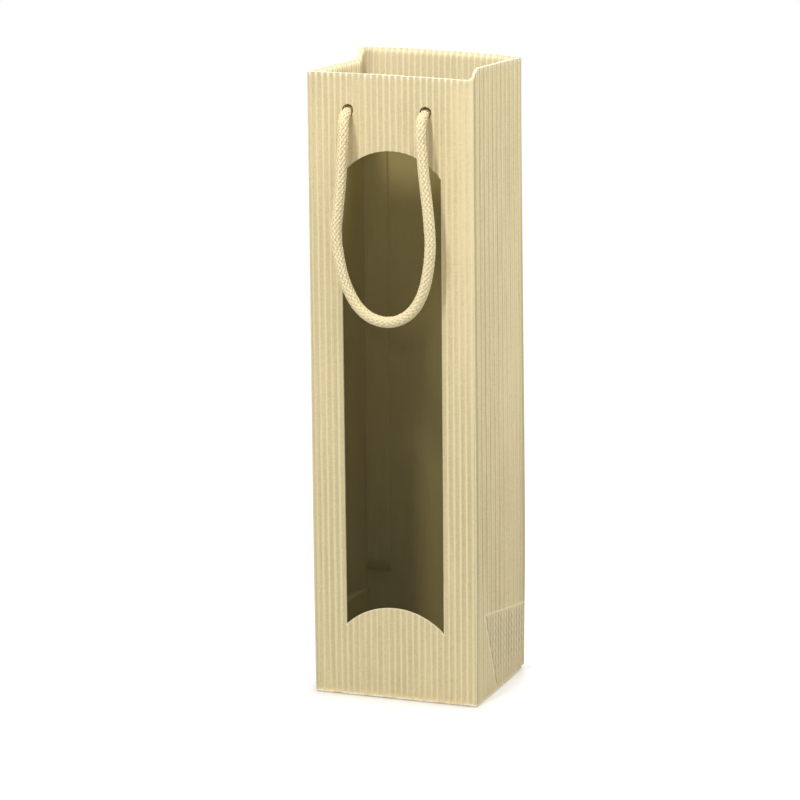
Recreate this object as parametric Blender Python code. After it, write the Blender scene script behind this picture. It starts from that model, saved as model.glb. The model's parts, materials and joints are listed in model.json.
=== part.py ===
"""Gift bag for one wine bottle: open-flute corrugated board, a film window and a cord handle.

Metres, +Z up. The origin is the middle of the footprint, on the table. The front is at -Y.
Each wall is drawn as the front one, in u along the wall and n outwards from the middle,
and an empty turns it to its side.
"""

import math

import bmesh
import bpy
from mathutils import Vector

# Board: an open flute outside and a smooth ply inside
FLUTE_PITCH = 0.00365
FLUTE_DEPTH = 0.00095
PLY_THICKNESS = 0.00045
FRONT_FLUTES = 27
SIDE_FLUTES = 23
POINTS_PER_FLUTE = 8

# Walls and rim: front and left walls are low, back and right walls are high
LOW_RIM = 0.3600
RIM_STEP = 0.0065
STEP_WIDTH = 0.0085
STEP_POINTS = 8
WALL_FOOT_CLEARANCE = 0.0003

# Hem turned in round the mouth, with its fold on top
HEM_HEIGHT = 0.0360
FOLD_HEIGHT = 0.0020
FOLD_ROUNDING = 0.0011
FOLD_BULGE = 0.0002
FOLD_SEGMENTS = 3

# Window and its film
WINDOW_WIDTH = 0.0596
WINDOW_SILL = 0.0425
WINDOW_BELOW_HEM = 0.0058
SILL_RISE = 0.0122
ARCH_RISE = 0.0147
ARC_POINTS = 15
FILM_THICKNESS = 0.0003
FILM_LAP = 0.0060
FILM_TOP_CLEARANCE = 0.0015

# Cord holes
HOLE_DIAMETER = 0.0068
HOLE_SPACING = 0.0460
HOLE_BELOW_RIM = 0.0193
HOLE_SHIFT = -0.0016
HOLE_SIDES = 24

# Bottom flaps and the tabs turned up inside the side walls
FLAP_THICKNESS = 0.0010
INNER_FLAP_LENGTH = 0.0520
TAB_FOOT = 0.0140
TAB_FRONT_HEIGHT = 0.0490
TAB_BACK_HEIGHT = 0.0410
TAB_TOP_FRONT = -0.0260
TAB_FOOT_FRONT = -0.0040
TAB_SINK = 0.0002

# Glue flap of the tube, inside the back wall
SEAM_WIDTH = 0.0150
SEAM_ABOVE_TABS = 0.0030
SEAM_BELOW_HEM = 0.0030

# Cord
CORD_DIAMETER = 0.0060
PIVOT_STANDOFF = 0.0055
KNOT_DIAMETER = 0.0130
KNOT_LENGTH = 0.0115
WRAP_DIAMETER = 0.0056
WRAP_TILT = math.radians(28)
TAIL_LENGTH = 0.0120
TAIL_SPLAY = math.radians(10)
CORD_POINT_SPACING = 0.0090
CORD_CURVE_STEPS = 8
CORD_END_POINTS = 4
CORD_SIDES = 16

# The handle's route: right of the holes' middle, out from the wall, below the holes
HANDLE_ROUTE = [
    (-0.0230, 0.0055, 0.0000),
    (-0.0229, 0.0074, 0.0080),
    (-0.0233, 0.0092, 0.0220),
    (-0.0241, 0.0104, 0.0400),
    (-0.0257, 0.0113, 0.0570),
    (-0.0266, 0.0117, 0.0690),
    (-0.0248, 0.0120, 0.0830),
    (-0.0212, 0.0123, 0.0960),
    (-0.0150, 0.0124, 0.1075),
    (-0.0070, 0.0125, 0.1145),
    (0.0025, 0.0125, 0.1169),
    (0.0112, 0.0125, 0.1152),
    (0.0187, 0.0124, 0.1098),
    (0.0242, 0.0123, 0.1010),
    (0.0276, 0.0121, 0.0890),
    (0.0292, 0.0119, 0.0745),
    (0.0286, 0.0115, 0.0610),
    (0.0271, 0.0109, 0.0480),
    (0.0250, 0.0100, 0.0320),
    (0.0235, 0.0085, 0.0150),
    (0.0230, 0.0055, 0.0000),
]

# Clearances between pieces, how far a cutter runs past what it cuts, and what counts as one point
GAP = 0.0003
MITRE = GAP / math.sqrt(2)
OVERRUN = 0.0040
FLAT_ANGLE = math.radians(0.1)
WELD_DISTANCE = 1e-7

# Worked out from the sizes above
BOARD = PLY_THICKNESS + FLUTE_DEPTH
WALL_AND_HEM = 2 * BOARD + GAP
HALF_WIDTH = FRONT_FLUTES * FLUTE_PITCH / 2
HALF_DEPTH = SIDE_FLUTES * FLUTE_PITCH / 2
HIGH_RIM = LOW_RIM + RIM_STEP
HEM_FOOT = LOW_RIM - HEM_HEIGHT
WINDOW_SHOULDER = HEM_FOOT - WINDOW_BELOW_HEM - ARCH_RISE
HOLE_Z = LOW_RIM - HOLE_BELOW_RIM
INSIDE_WALL = BOARD + GAP
CORD_RADIUS = CORD_DIAMETER / 2
PIVOT_N = HALF_DEPTH + PIVOT_STANDOFF

# Colours, linear RGB
BOARD_COLOUR = (0.730, 0.620, 0.365, 1.0)
PLY_COLOUR = (0.560, 0.450, 0.250, 1.0)
CORD_COLOUR = (0.830, 0.740, 0.500, 1.0)
FILM_COLOUR = (0.900, 0.920, 0.900, 1.0)


def clear_scene():
    for obj in list(bpy.data.objects):
        bpy.data.objects.remove(obj)


def collection(name):
    group = bpy.data.collections.new(name)
    bpy.context.scene.collection.children.link(group)
    return group


def material(name, colour, roughness, alpha=1.0):
    made = bpy.data.materials.new(name)
    made.use_nodes = True
    shader = made.node_tree.nodes["Principled BSDF"]
    shader.inputs["Base Color"].default_value = colour
    shader.inputs["Roughness"].default_value = roughness
    shader.inputs["Metallic"].default_value = 0.0
    shader.inputs["Alpha"].default_value = alpha
    return made


def mesh_object(name, bm, group, parent=None):
    """A mesh object made from a bmesh, with its faces turned outwards."""
    bmesh.ops.remove_doubles(bm, verts=bm.verts, dist=WELD_DISTANCE)
    bmesh.ops.recalc_face_normals(bm, faces=bm.faces)
    mesh = bpy.data.meshes.new(name)
    bm.to_mesh(mesh)
    bm.free()
    obj = bpy.data.objects.new(name, mesh)
    group.objects.link(obj)
    obj.parent = parent
    return obj


def outline_mesh(name, points, thickness):
    """A flat outline in XY, filled and given that thickness, as a bmesh centred on z = 0."""
    curve = bpy.data.curves.new(name, "CURVE")
    curve.dimensions = "2D"
    curve.fill_mode = "BOTH"
    curve.extrude = thickness / 2
    spline = curve.splines.new("POLY")
    spline.points.add(len(points) - 1)
    for point, (x, y) in zip(spline.points, points):
        point.co = (x, y, 0.0, 1.0)
    spline.use_cyclic_u = True
    drawn = bpy.data.objects.new(name, curve)
    bpy.context.scene.collection.objects.link(drawn)
    depsgraph = bpy.context.evaluated_depsgraph_get()
    mesh = bpy.data.meshes.new_from_object(drawn.evaluated_get(depsgraph))
    bpy.data.objects.remove(drawn)
    bm = bmesh.new()
    bm.from_mesh(mesh)
    bpy.data.meshes.remove(mesh)
    bmesh.ops.remove_doubles(bm, verts=bm.verts, dist=WELD_DISTANCE)
    bmesh.ops.dissolve_limit(bm, angle_limit=FLAT_ANGLE, verts=bm.verts, edges=bm.edges)
    return bm


def section_solid(name, section, bottom, top, group, parent):
    """A section in (u, n), raised from bottom to top."""
    bm = outline_mesh(name, [(u, -n) for u, n in section], top - bottom)
    bmesh.ops.translate(bm, verts=bm.verts, vec=(0.0, 0.0, (bottom + top) / 2))
    return mesh_object(name, bm, group, parent)


def face_solid(name, outline, inner, outer, group, parent):
    """An outline in (u, z), filled between the depths inner and outer."""
    bm = outline_mesh(name, outline, outer - inner)
    for vert in bm.verts:
        u, z, depth = vert.co
        vert.co = (u, -depth - (inner + outer) / 2, z)
    return mesh_object(name, bm, group, parent)


def box(name, low, high, group, parent=None):
    """A box between two corners."""
    bm = bmesh.new()
    bmesh.ops.create_cube(bm, size=1.0)
    low, high = Vector(low), Vector(high)
    bmesh.ops.scale(bm, verts=bm.verts, vec=high - low)
    bmesh.ops.translate(bm, verts=bm.verts, vec=(low + high) / 2)
    return mesh_object(name, bm, group, parent)


def join(target, tool, operation):
    """An exact Boolean of target with tool, which is hidden from renders."""
    tool.hide_render = True
    tool.display_type = "WIRE"
    step = target.modifiers.new(operation.lower() + " " + tool.name, "BOOLEAN")
    step.operation = operation
    step.solver = "EXACT"
    step.object = tool


def finish(obj, made):
    obj.data.materials.clear()
    obj.data.materials.append(made)


def rim_line(low_end, high_end, half_length):
    """The rim as (u, z) from -half_length to half_length. Where its ends differ, it steps at -u."""
    if low_end == high_end:
        return [(-half_length, low_end), (half_length, low_end)]
    line = []
    for i in range(STEP_POINTS + 1):
        share = i / STEP_POINTS
        eased = share * share * (3 - 2 * share)
        line.append((-half_length + share * STEP_WIDTH, low_end + eased * (high_end - low_end)))
    return line + [(half_length, high_end)]


def lowered(line, drop):
    return [(u, z - drop) for u, z in line]


def wall_end(half_length, half_depth, n):
    """Where a wall's mitred end lies at depth n."""
    return half_length - MITRE - (half_depth - n)


def fluted_section(half_length, half_depth, flat, crest):
    """A mitred section with one flat side and one fluted side, as (u, n)."""
    end = wall_end(half_length, half_depth, crest)
    last_crest = math.floor(end / FLUTE_PITCH) * FLUTE_PITCH
    inward = math.copysign(FLUTE_DEPTH, flat - crest)
    steps = round(2 * last_crest / FLUTE_PITCH) * POINTS_PER_FLUTE
    waves = [(-end, crest)]
    for i in range(steps + 1):
        u = -last_crest + i * FLUTE_PITCH / POINTS_PER_FLUTE
        waves.append((u, crest + inward * (1 - math.cos(math.tau * u / FLUTE_PITCH)) / 2))
    waves.append((end, crest))
    flat_end = wall_end(half_length, half_depth, flat)
    return waves + [(flat_end, flat), (-flat_end, flat)]


def arc(half_chord, foot, rise):
    """An arc as (u, z), from left to right, whose ends are at foot and whose top is rise above."""
    radius = (half_chord**2 + rise**2) / (2 * rise)
    opening = math.asin(half_chord / radius)
    points = []
    for i in range(ARC_POINTS):
        angle = opening * (2 * i / (ARC_POINTS - 1) - 1)
        points.append((radius * math.sin(angle), foot + rise + radius * (math.cos(angle) - 1)))
    return points


def cylinder(name, radius, start, end, sides, group, parent=None):
    """A cylinder from start to end."""
    start, end = Vector(start), Vector(end)
    axis = end - start
    bm = bmesh.new()
    bmesh.ops.create_cone(
        bm, cap_ends=True, segments=sides, radius1=radius, radius2=radius, depth=axis.length
    )
    turn = axis.to_track_quat("Z", "Y").to_matrix()
    bmesh.ops.rotate(bm, verts=bm.verts, cent=(0.0, 0.0, 0.0), matrix=turn)
    bmesh.ops.translate(bm, verts=bm.verts, vec=(start + end) / 2)
    return mesh_object(name, bm, group, parent)


def hole_places():
    return [HOLE_SHIFT - HOLE_SPACING / 2, HOLE_SHIFT + HOLE_SPACING / 2]


def cut_holes(target, side, half_depth, group, parent):
    """Both cord holes, through the wall and its hem."""
    inner = half_depth - WALL_AND_HEM - OVERRUN
    for label, u in zip(("left", "right"), hole_places()):
        start, end = (u, -half_depth - OVERRUN, HOLE_Z), (u, -inner, HOLE_Z)
        name = side + "_" + label + "_hole_for_" + target.name
        drill = cylinder(name, HOLE_DIAMETER / 2, start, end, HOLE_SIDES, group, parent)
        join(target, drill, "DIFFERENCE")


def build_panel(side, rim, half_length, half_depth, parts, cutters, parent, made):
    """One wall: fluted outside, smooth inside, under the fold of its hem."""
    section = fluted_section(half_length, half_depth, half_depth - BOARD, half_depth)
    panel = section_solid(side + "_panel", section, -OVERRUN, HIGH_RIM + OVERRUN, parts, parent)
    top = lowered(rim, FOLD_HEIGHT + GAP)
    foot = [(half_length, WALL_FOOT_CLEARANCE), (-half_length, WALL_FOOT_CLEARANCE)]
    inner = half_depth - BOARD - OVERRUN
    blank = face_solid(
        side + "_panel_blank", top + foot, inner, half_depth + OVERRUN, cutters, parent
    )
    join(panel, blank, "INTERSECT")
    finish(panel, made)
    return panel


def fold_profile(inner, outer):
    """The rounded section of a fold, from foot to foot, as (n, drop below the rim)."""
    side = [(0.0, FOLD_HEIGHT)]
    for i in range(FOLD_SEGMENTS + 1):
        angle = i / FOLD_SEGMENTS * math.pi / 2
        side.append((FOLD_ROUNDING * (1 - math.cos(angle)), FOLD_ROUNDING * (1 - math.sin(angle))))
    up = [(inner + n, drop) for n, drop in side]
    down = [(outer - n, drop) for n, drop in reversed(side)]
    return up + down


def build_fold(side, rim, half_length, half_depth, cutters, parent):
    """The rounded fold that tops a wall and its hem, swept along the rim."""
    inner = half_depth - WALL_AND_HEM - FOLD_BULGE
    profile = fold_profile(inner, half_depth)
    bm = bmesh.new()
    rows = [[bm.verts.new((u, -n, z - drop)) for n, drop in profile] for u, z in rim]
    bm.faces.new(rows[0])
    bm.faces.new(rows[-1])
    for row, following in zip(rows, rows[1:]):
        for i in range(len(profile)):
            bm.faces.new((row[i - 1], row[i], following[i], following[i - 1]))
    fold = mesh_object(side + "_fold", bm, cutters, parent)
    section = [
        (wall_end(half_length, half_depth, n) * end, n)
        for end, n in ((-1, half_depth), (1, half_depth), (1, inner), (-1, inner))
    ]
    mitre = section_solid(
        side + "_fold_mitre", section, HEM_FOOT, HIGH_RIM + OVERRUN, cutters, parent
    )
    join(fold, mitre, "INTERSECT")
    return fold


def build_hem(side, rim, half_length, half_depth, parts, cutters, parent, made):
    """The board turned in round the mouth: smooth against the wall, fluted inside."""
    flat = half_depth - INSIDE_WALL
    crest = half_depth - WALL_AND_HEM
    section = fluted_section(half_length, half_depth, flat, crest)
    hem = section_solid(
        side + "_hem", section, HEM_FOOT - OVERRUN, HIGH_RIM + OVERRUN, parts, parent
    )
    top = lowered(rim, FOLD_HEIGHT / 2)
    foot = [(half_length, HEM_FOOT), (-half_length, HEM_FOOT)]
    blank = face_solid(
        side + "_hem_blank", top + foot, crest - OVERRUN, flat + OVERRUN, cutters, parent
    )
    join(hem, blank, "INTERSECT")
    join(hem, build_fold(side, rim, half_length, half_depth, cutters, parent), "UNION")
    finish(hem, made)
    return hem


def cut_window(panel, half_depth, cutters, parent):
    """The window, with a curved sill and an arched head."""
    half = WINDOW_WIDTH / 2
    head = arc(half, WINDOW_SHOULDER, ARCH_RISE)
    sill = list(reversed(arc(half, WINDOW_SILL, SILL_RISE)))
    inner = half_depth - BOARD - OVERRUN
    opening = face_solid(
        "window_opening", head + sill, inner, half_depth + OVERRUN, cutters, parent
    )
    join(panel, opening, "DIFFERENCE")


def build_walls(parts, cutters, made):
    """Four walls with their hems. The rim steps up at the ends where a low wall meets a high one."""
    sides = (
        ("front", HALF_WIDTH, HALF_DEPTH, LOW_RIM, LOW_RIM),
        ("right", HALF_DEPTH, HALF_WIDTH, LOW_RIM, HIGH_RIM),
        ("back", HALF_WIDTH, HALF_DEPTH, HIGH_RIM, HIGH_RIM),
        ("left", HALF_DEPTH, HALF_WIDTH, HIGH_RIM, LOW_RIM),
    )
    for turn, (side, half_length, half_depth, start, end) in enumerate(sides):
        parent = bpy.data.objects.new(side + "_side", None)
        parts.objects.link(parent)
        parent.rotation_euler.z = turn * math.pi / 2
        rim = rim_line(start, end, half_length)
        place = (half_length, half_depth, parts, cutters, parent, made)
        panel = build_panel(side, rim, *place)
        hem = build_hem(side, rim, *place)
        if side == "front":
            cut_window(panel, half_depth, cutters, parent)
        if side in ("front", "back"):
            cut_holes(panel, side, half_depth, cutters, parent)
            cut_holes(hem, side, half_depth, cutters, parent)


def build_film(parts, made):
    """Clear film glued behind the window."""
    half = WINDOW_WIDTH / 2 + FILM_LAP
    outer = INSIDE_WALL - HALF_DEPTH
    low = (-half, outer, WINDOW_SILL - FILM_LAP)
    high = (half, outer + FILM_THICKNESS, HEM_FOOT - FILM_TOP_CLEARANCE)
    finish(box("window_film", low, high, parts), made)


def build_bottom(parts, cutters, made):
    """The bottom: an outer flap, an inner flap on it and a turned-up tab at each side."""
    half_x, half_y = HALF_WIDTH - INSIDE_WALL, HALF_DEPTH - INSIDE_WALL
    low, high = (-half_x, -half_y, 0.0), (half_x, half_y, FLAP_THICKNESS)
    finish(box("bottom_outer_flap", low, high, parts), made)
    floor = FLAP_THICKNESS + GAP
    inner_x = half_x - TAB_FOOT - GAP
    low = (-inner_x, -half_y, floor)
    high = (inner_x, INNER_FLAP_LENGTH - half_y, floor + FLAP_THICKNESS)
    finish(box("bottom_inner_flap", low, high, parts), made)
    for side, sign in (("left", -1), ("right", 1)):
        build_tab(side, sign, floor, parts, cutters, made)


def build_tab(side, sign, floor, parts, cutters, made):
    """A tab glued up the inside of a side wall, on a foot that lies on the outer flap."""
    parent = bpy.data.objects[side + "_side"]
    outer = HALF_WIDTH - INSIDE_WALL
    back = HALF_DEPTH - INSIDE_WALL
    outline = [
        (TAB_FOOT_FRONT * sign, floor + TAB_SINK),
        (back * sign, floor + TAB_SINK),
        (back * sign, TAB_BACK_HEIGHT),
        (TAB_TOP_FRONT * sign, TAB_FRONT_HEIGHT),
    ]
    tab = face_solid(side + "_tab", outline, outer - FLAP_THICKNESS, outer, parts, parent)
    ends = sorted((TAB_FOOT_FRONT * sign, (back - TAB_SINK) * sign))
    low = (ends[0], -(outer - TAB_SINK), floor)
    high = (ends[1], TAB_FOOT - outer, floor + FLAP_THICKNESS)
    join(tab, box(side + "_tab_foot", low, high, cutters, parent), "UNION")
    finish(tab, made)


def build_seam(parts, made):
    """The tube's glue flap, inside the back wall at the left corner."""
    left = INSIDE_WALL - HALF_WIDTH
    back = HALF_DEPTH - INSIDE_WALL
    low = (left, back - FLAP_THICKNESS, TAB_FRONT_HEIGHT + SEAM_ABOVE_TABS)
    high = (left + SEAM_WIDTH, back, HEM_FOOT - SEAM_BELOW_HEM)
    finish(box("seam_flap", low, high, parts), made)


def smooth_points(route, spacing):
    """Points about that far apart on a Catmull-Rom curve through the route, its ends included."""
    before = 2 * route[0] - route[1]
    after = 2 * route[-1] - route[-2]
    knots = [before] + route + [after]
    fine = []
    for i in range(1, len(knots) - 2):
        a, b, c, d = knots[i - 1 : i + 3]
        for step in range(CORD_CURVE_STEPS):
            t = step / CORD_CURVE_STEPS
            fine.append(
                (2 * b + (c - a) * t + (2 * a - 5 * b + 4 * c - d) * t**2
                 + (3 * b - 3 * c + d - a) * t**3) / 2
            )
    fine.append(route[-1])
    far = [0.0]
    for first, second in zip(fine, fine[1:]):
        far.append(far[-1] + (second - first).length)
    count = round(far[-1] / spacing)
    points, at = [], 0
    for i in range(count + 1):
        wanted = far[-1] * i / count
        while at < len(far) - 2 and far[at + 1] < wanted:
            at += 1
        share = (wanted - far[at]) / (far[at + 1] - far[at])
        points.append(fine[at].lerp(fine[at + 1], share))
    return points


def cord_curve(name, points, round_start, round_end):
    """A tube along the points. A rounded end narrows to a dome round the end point."""
    places = [(point, 1.0) for point in points]
    for rounded, end, inner in ((round_start, 0, 1), (round_end, -1, -2)):
        if not rounded:
            continue
        out = (points[end] - points[inner]).normalized() * CORD_RADIUS
        dome = []
        for i in range(1, CORD_END_POINTS + 1):
            angle = i * math.pi / 2 / (CORD_END_POINTS + 1)
            dome.append((points[end] + out * math.sin(angle), math.cos(angle)))
        places = list(reversed(dome)) + places if end == 0 else places + dome
    curve = bpy.data.curves.new(name, "CURVE")
    curve.dimensions = "3D"
    curve.bevel_depth = CORD_RADIUS
    curve.bevel_resolution = 3
    curve.use_fill_caps = True
    spline = curve.splines.new("POLY")
    spline.points.add(len(places) - 1)
    for point, (place, radius) in zip(spline.points, places):
        point.co = (*place, 1.0)
        point.radius = radius
    return bpy.data.objects.new(name, curve)


def build_handle(parts, made):
    """The free loop of the handle. Its origin is on the line it swings about."""
    route = [Vector((x, -out, -drop)) for x, out, drop in HANDLE_ROUTE]
    shift = Vector((0.0, PIVOT_STANDOFF, 0.0))
    points = smooth_points([point + shift for point in route], CORD_POINT_SPACING)
    handle = cord_curve("handle_cord", points, True, True)
    parts.objects.link(handle)
    handle.location = (HOLE_SHIFT, -PIVOT_N, HOLE_Z)
    finish(handle, made)


def build_cord_end(side, u, parts, cutters, made):
    """The cord's end: through the hole, into a knot behind the hem, and a short tail."""
    face = HALF_DEPTH + PIVOT_STANDOFF - CORD_RADIUS - GAP
    hem_face = HALF_DEPTH - WALL_AND_HEM - FOLD_BULGE
    knot_middle = hem_face - GAP - KNOT_LENGTH / 2
    middle = Vector((u, -knot_middle, HOLE_Z))
    name = side + "_cord_end"
    end = cylinder(name, CORD_RADIUS, (u, -face, HOLE_Z), middle, CORD_SIDES, parts)
    bm = bmesh.new()
    bmesh.ops.create_uvsphere(bm, u_segments=CORD_SIDES, v_segments=CORD_SIDES // 2, radius=1.0)
    shape = (KNOT_DIAMETER / 2, KNOT_LENGTH / 2, KNOT_DIAMETER / 2)
    bmesh.ops.scale(bm, verts=bm.verts, vec=shape)
    bmesh.ops.translate(bm, verts=bm.verts, vec=middle)
    join(end, mesh_object(name + "_knot", bm, cutters), "UNION")
    bpy.ops.mesh.primitive_torus_add(
        location=middle,
        rotation=(math.pi / 2, WRAP_TILT, 0.0),
        major_segments=CORD_SIDES,
        minor_segments=CORD_SIDES // 2,
        major_radius=KNOT_DIAMETER / 2 - CORD_RADIUS / 4,
        minor_radius=WRAP_DIAMETER / 4,
    )
    wrap = bpy.context.object
    wrap.name = name + "_wrap"
    for group in list(wrap.users_collection):
        group.objects.unlink(wrap)
    cutters.objects.link(wrap)
    join(end, wrap, "UNION")
    reach = KNOT_DIAMETER / 2 + TAIL_LENGTH
    tip = middle + Vector((math.sin(TAIL_SPLAY), 0.0, -math.cos(TAIL_SPLAY))) * reach
    tail = cylinder(name + "_tail", CORD_RADIUS, middle, tip, CORD_SIDES, cutters)
    join(end, tail, "UNION")
    finish(end, made)


def main():
    clear_scene()
    parts = collection("bottle_bag")
    cutters = collection("cutters")
    board = material("fluted_board", BOARD_COLOUR, 0.85)
    ply = material("smooth_board", PLY_COLOUR, 0.85)
    cord = material("cotton_cord", CORD_COLOUR, 0.90)
    film = material("clear_film", FILM_COLOUR, 0.10, 0.25)
    build_walls(parts, cutters, board)
    build_film(parts, film)
    build_bottom(parts, cutters, ply)
    build_seam(parts, ply)
    build_handle(parts, cord)
    for side, u in zip(("left", "right"), hole_places()):
        build_cord_end(side, u, parts, cutters, cord)


main()
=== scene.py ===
"""Gift bag for one wine bottle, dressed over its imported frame.

Metres, +Z up, the front at -Y. The board is one closed shell. Its section starts under the
foot, runs up outside, over the folded rim, down the hem and down the smooth ply inside.
"""

import json
import math
from dataclasses import dataclass

import bmesh
import bpy
from mathutils import Matrix, Vector, noise


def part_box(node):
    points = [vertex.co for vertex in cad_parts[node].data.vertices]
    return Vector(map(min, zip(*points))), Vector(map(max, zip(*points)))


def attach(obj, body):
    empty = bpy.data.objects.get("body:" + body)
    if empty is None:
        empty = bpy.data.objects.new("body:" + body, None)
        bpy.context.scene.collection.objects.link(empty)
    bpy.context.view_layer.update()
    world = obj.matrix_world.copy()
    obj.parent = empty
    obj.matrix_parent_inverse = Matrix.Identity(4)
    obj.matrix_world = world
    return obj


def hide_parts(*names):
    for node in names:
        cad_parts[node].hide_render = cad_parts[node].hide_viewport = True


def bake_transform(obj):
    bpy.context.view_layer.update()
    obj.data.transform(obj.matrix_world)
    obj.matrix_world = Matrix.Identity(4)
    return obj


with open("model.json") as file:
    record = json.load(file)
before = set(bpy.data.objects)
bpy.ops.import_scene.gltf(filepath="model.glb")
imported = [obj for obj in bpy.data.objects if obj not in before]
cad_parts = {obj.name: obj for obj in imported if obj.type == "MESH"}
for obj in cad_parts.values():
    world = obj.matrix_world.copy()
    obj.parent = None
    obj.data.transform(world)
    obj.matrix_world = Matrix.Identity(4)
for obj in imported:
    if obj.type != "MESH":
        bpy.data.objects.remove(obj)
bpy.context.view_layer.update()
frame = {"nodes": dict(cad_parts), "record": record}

bl_info = {
    "name": "Bottle bag",
    "version": (1, 0, 0),
    "blender": (4, 5, 0),
    "location": "View3D > Sidebar > Bottle bag",
    "description": "A fluted board bag for one bottle, with a film window and a braided handle",
    "category": "Add Mesh",
}

# Sizes that the frame gives
HALF_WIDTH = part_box("right_panel")[1][0]
HALF_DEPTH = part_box("back_panel")[1][1]
LOW_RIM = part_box("front_hem")[1][2]
HIGH_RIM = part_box("back_hem")[1][2]
HEM_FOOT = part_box("front_hem")[0][2]
HEM_FACE = -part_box("front_hem")[1][1]
FILM_LOW, FILM_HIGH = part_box("window_film")
PIVOT = Vector(frame["record"]["behaviour"]["joints"][0]["pos_m"])

# Half the length of the front, right, back and left wall
HALF_LENGTHS = (HALF_WIDTH, HALF_DEPTH) * 2

# Sizes that the frame doesn't hold, as in the part's source
BOARD_THICKNESS = 0.0014
RIM_STEP_WIDTH = 0.0085
FILM_LAP = 0.0060
SILL_RISE = 0.0122
ARCH_RISE = 0.0147
WINDOW_BELOW_HEM = 0.0058
HOLE_DIAMETER = 0.0068
HOLE_SPACING = 0.0460

# The window, worked out from its film and from the hem above it
WINDOW_HALF = FILM_HIGH[0] - FILM_LAP
WINDOW_FOOT = FILM_LOW[2] + FILM_LAP
WINDOW_SHOULDER = HEM_FOOT - WINDOW_BELOW_HEM - ARCH_RISE

# Where the real one is a little off: its holes and the sill's right end
HOLE_SHIFT = Vector((-0.0005, 0.0, -0.0004))
SILL_LEAN = 0.0011

# The print of the tab that is glued inside a side wall, and the flutes that press through it
PRINT_FRONT_TOP = -0.0288
PRINT_FRONT_FOOT = -0.0072
PRINT_FRONT_HEIGHT = 0.0509
PRINT_BACK_HEIGHT = 0.0401
PRINT_LEAN = (PRINT_FRONT_FOOT - PRINT_FRONT_TOP) / PRINT_FRONT_HEIGHT
PRINT_SLOPE = (PRINT_FRONT_HEIGHT - PRINT_BACK_HEIGHT) / (HALF_DEPTH - PRINT_FRONT_TOP)
DASH_SPACING = 0.0047
TAB_FLUTE_SPACING = 0.0022

# Where a side wall's first flutes are pressed flat low down: from full depth and height inwards
FLAT_CORNER_DEPTH = (-0.0180, -0.0260)
FLAT_CORNER_HEIGHT = (0.1000, 0.0550)

# The handle's route between the bends at its holes, as in the part's source:
# right of the holes' middle, out from the wall, below the holes
HANDLE_ROUTE = [
    (-0.0233, 0.0092, 0.0220),
    (-0.0241, 0.0104, 0.0400),
    (-0.0257, 0.0113, 0.0570),
    (-0.0266, 0.0117, 0.0690),
    (-0.0248, 0.0120, 0.0830),
    (-0.0212, 0.0123, 0.0960),
    (-0.0150, 0.0124, 0.1075),
    (-0.0070, 0.0125, 0.1145),
    (0.0025, 0.0125, 0.1169),
    (0.0112, 0.0125, 0.1152),
    (0.0187, 0.0124, 0.1098),
    (0.0242, 0.0123, 0.1010),
    (0.0276, 0.0121, 0.0890),
    (0.0292, 0.0119, 0.0745),
    (0.0286, 0.0115, 0.0610),
    (0.0271, 0.0109, 0.0480),
    (0.0250, 0.0100, 0.0320),
]

# The braid is a little thicker than the solid that stands in for it
BRAID_DIAMETER = 0.0064

# The bend from a hole down into that route: out from the wall, below the hole
HOLE_BEND = [
    (-0.0036, 0.0000),
    (-0.0010, 0.0001),
    (0.0014, 0.0006),
    (0.0036, 0.0018),
    (0.0054, 0.0037),
    (0.0067, 0.0063),
    (0.0077, 0.0100),
    (0.0084, 0.0150),
]

# The camera, worked out from the corners of the bag in the photograph
CAMERA_AZIMUTH = math.radians(20.56)
CAMERA_ELEVATION = math.radians(12.30)
CAMERA_ROLL = 0.0099
CAMERA_AIM_HEIGHT = 0.1800
CAMERA_AIM_LEFT = 0.01044
CAMERA_AIM_DOWN = 0.01177
CAMERA_DISTANCE = 1.9179
CAMERA_LENS = 149.72
CAMERA_SENSOR = 36.0
CAMERA_CLIP_END = 20.0


def length_property(name, description, default):
    """A length that a user would change, in metres."""
    return bpy.props.FloatProperty(
        name=name, description=description, default=default, unit="LENGTH"
    )


def colour_property(name, description, red, green, blue):
    """A colour that a user would change."""
    return bpy.props.FloatVectorProperty(
        name=name, description=description, default=(red, green, blue, 1.0),
        size=4, subtype="COLOR",
    )


class BagSizes(bpy.types.PropertyGroup):
    """Sizes of the bag that a user would change."""

    front_flutes: bpy.props.IntProperty(
        name="Front flutes", description="Flutes across the front wall", default=27, min=3
    )
    side_flutes: bpy.props.IntProperty(
        name="Side flutes", description="Flutes across a side wall", default=23, min=3
    )
    flute_depth: length_property("Flute depth", "From a flute's crest to its valley", 0.00085)
    unevenness: bpy.props.FloatProperty(
        name="Unevenness", description="How much one flute's depth differs from the next",
        default=0.45, subtype="FACTOR",
    )
    crease_radius: length_property("Crease radius", "Outer rounding of the upright creases", 0.0008)
    belly_side: length_property("Belly of the sides", "How far they stand out low down", 0.0012)
    belly_back: length_property("Belly of the back", "How far it stands out low down", 0.0019)
    film_ripple: length_property("Film ripple", "How far the film is off flat", 0.0003)
    braid_lay: length_property("Braid lay", "Cord in which a strand goes once round", 0.0255)


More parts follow.
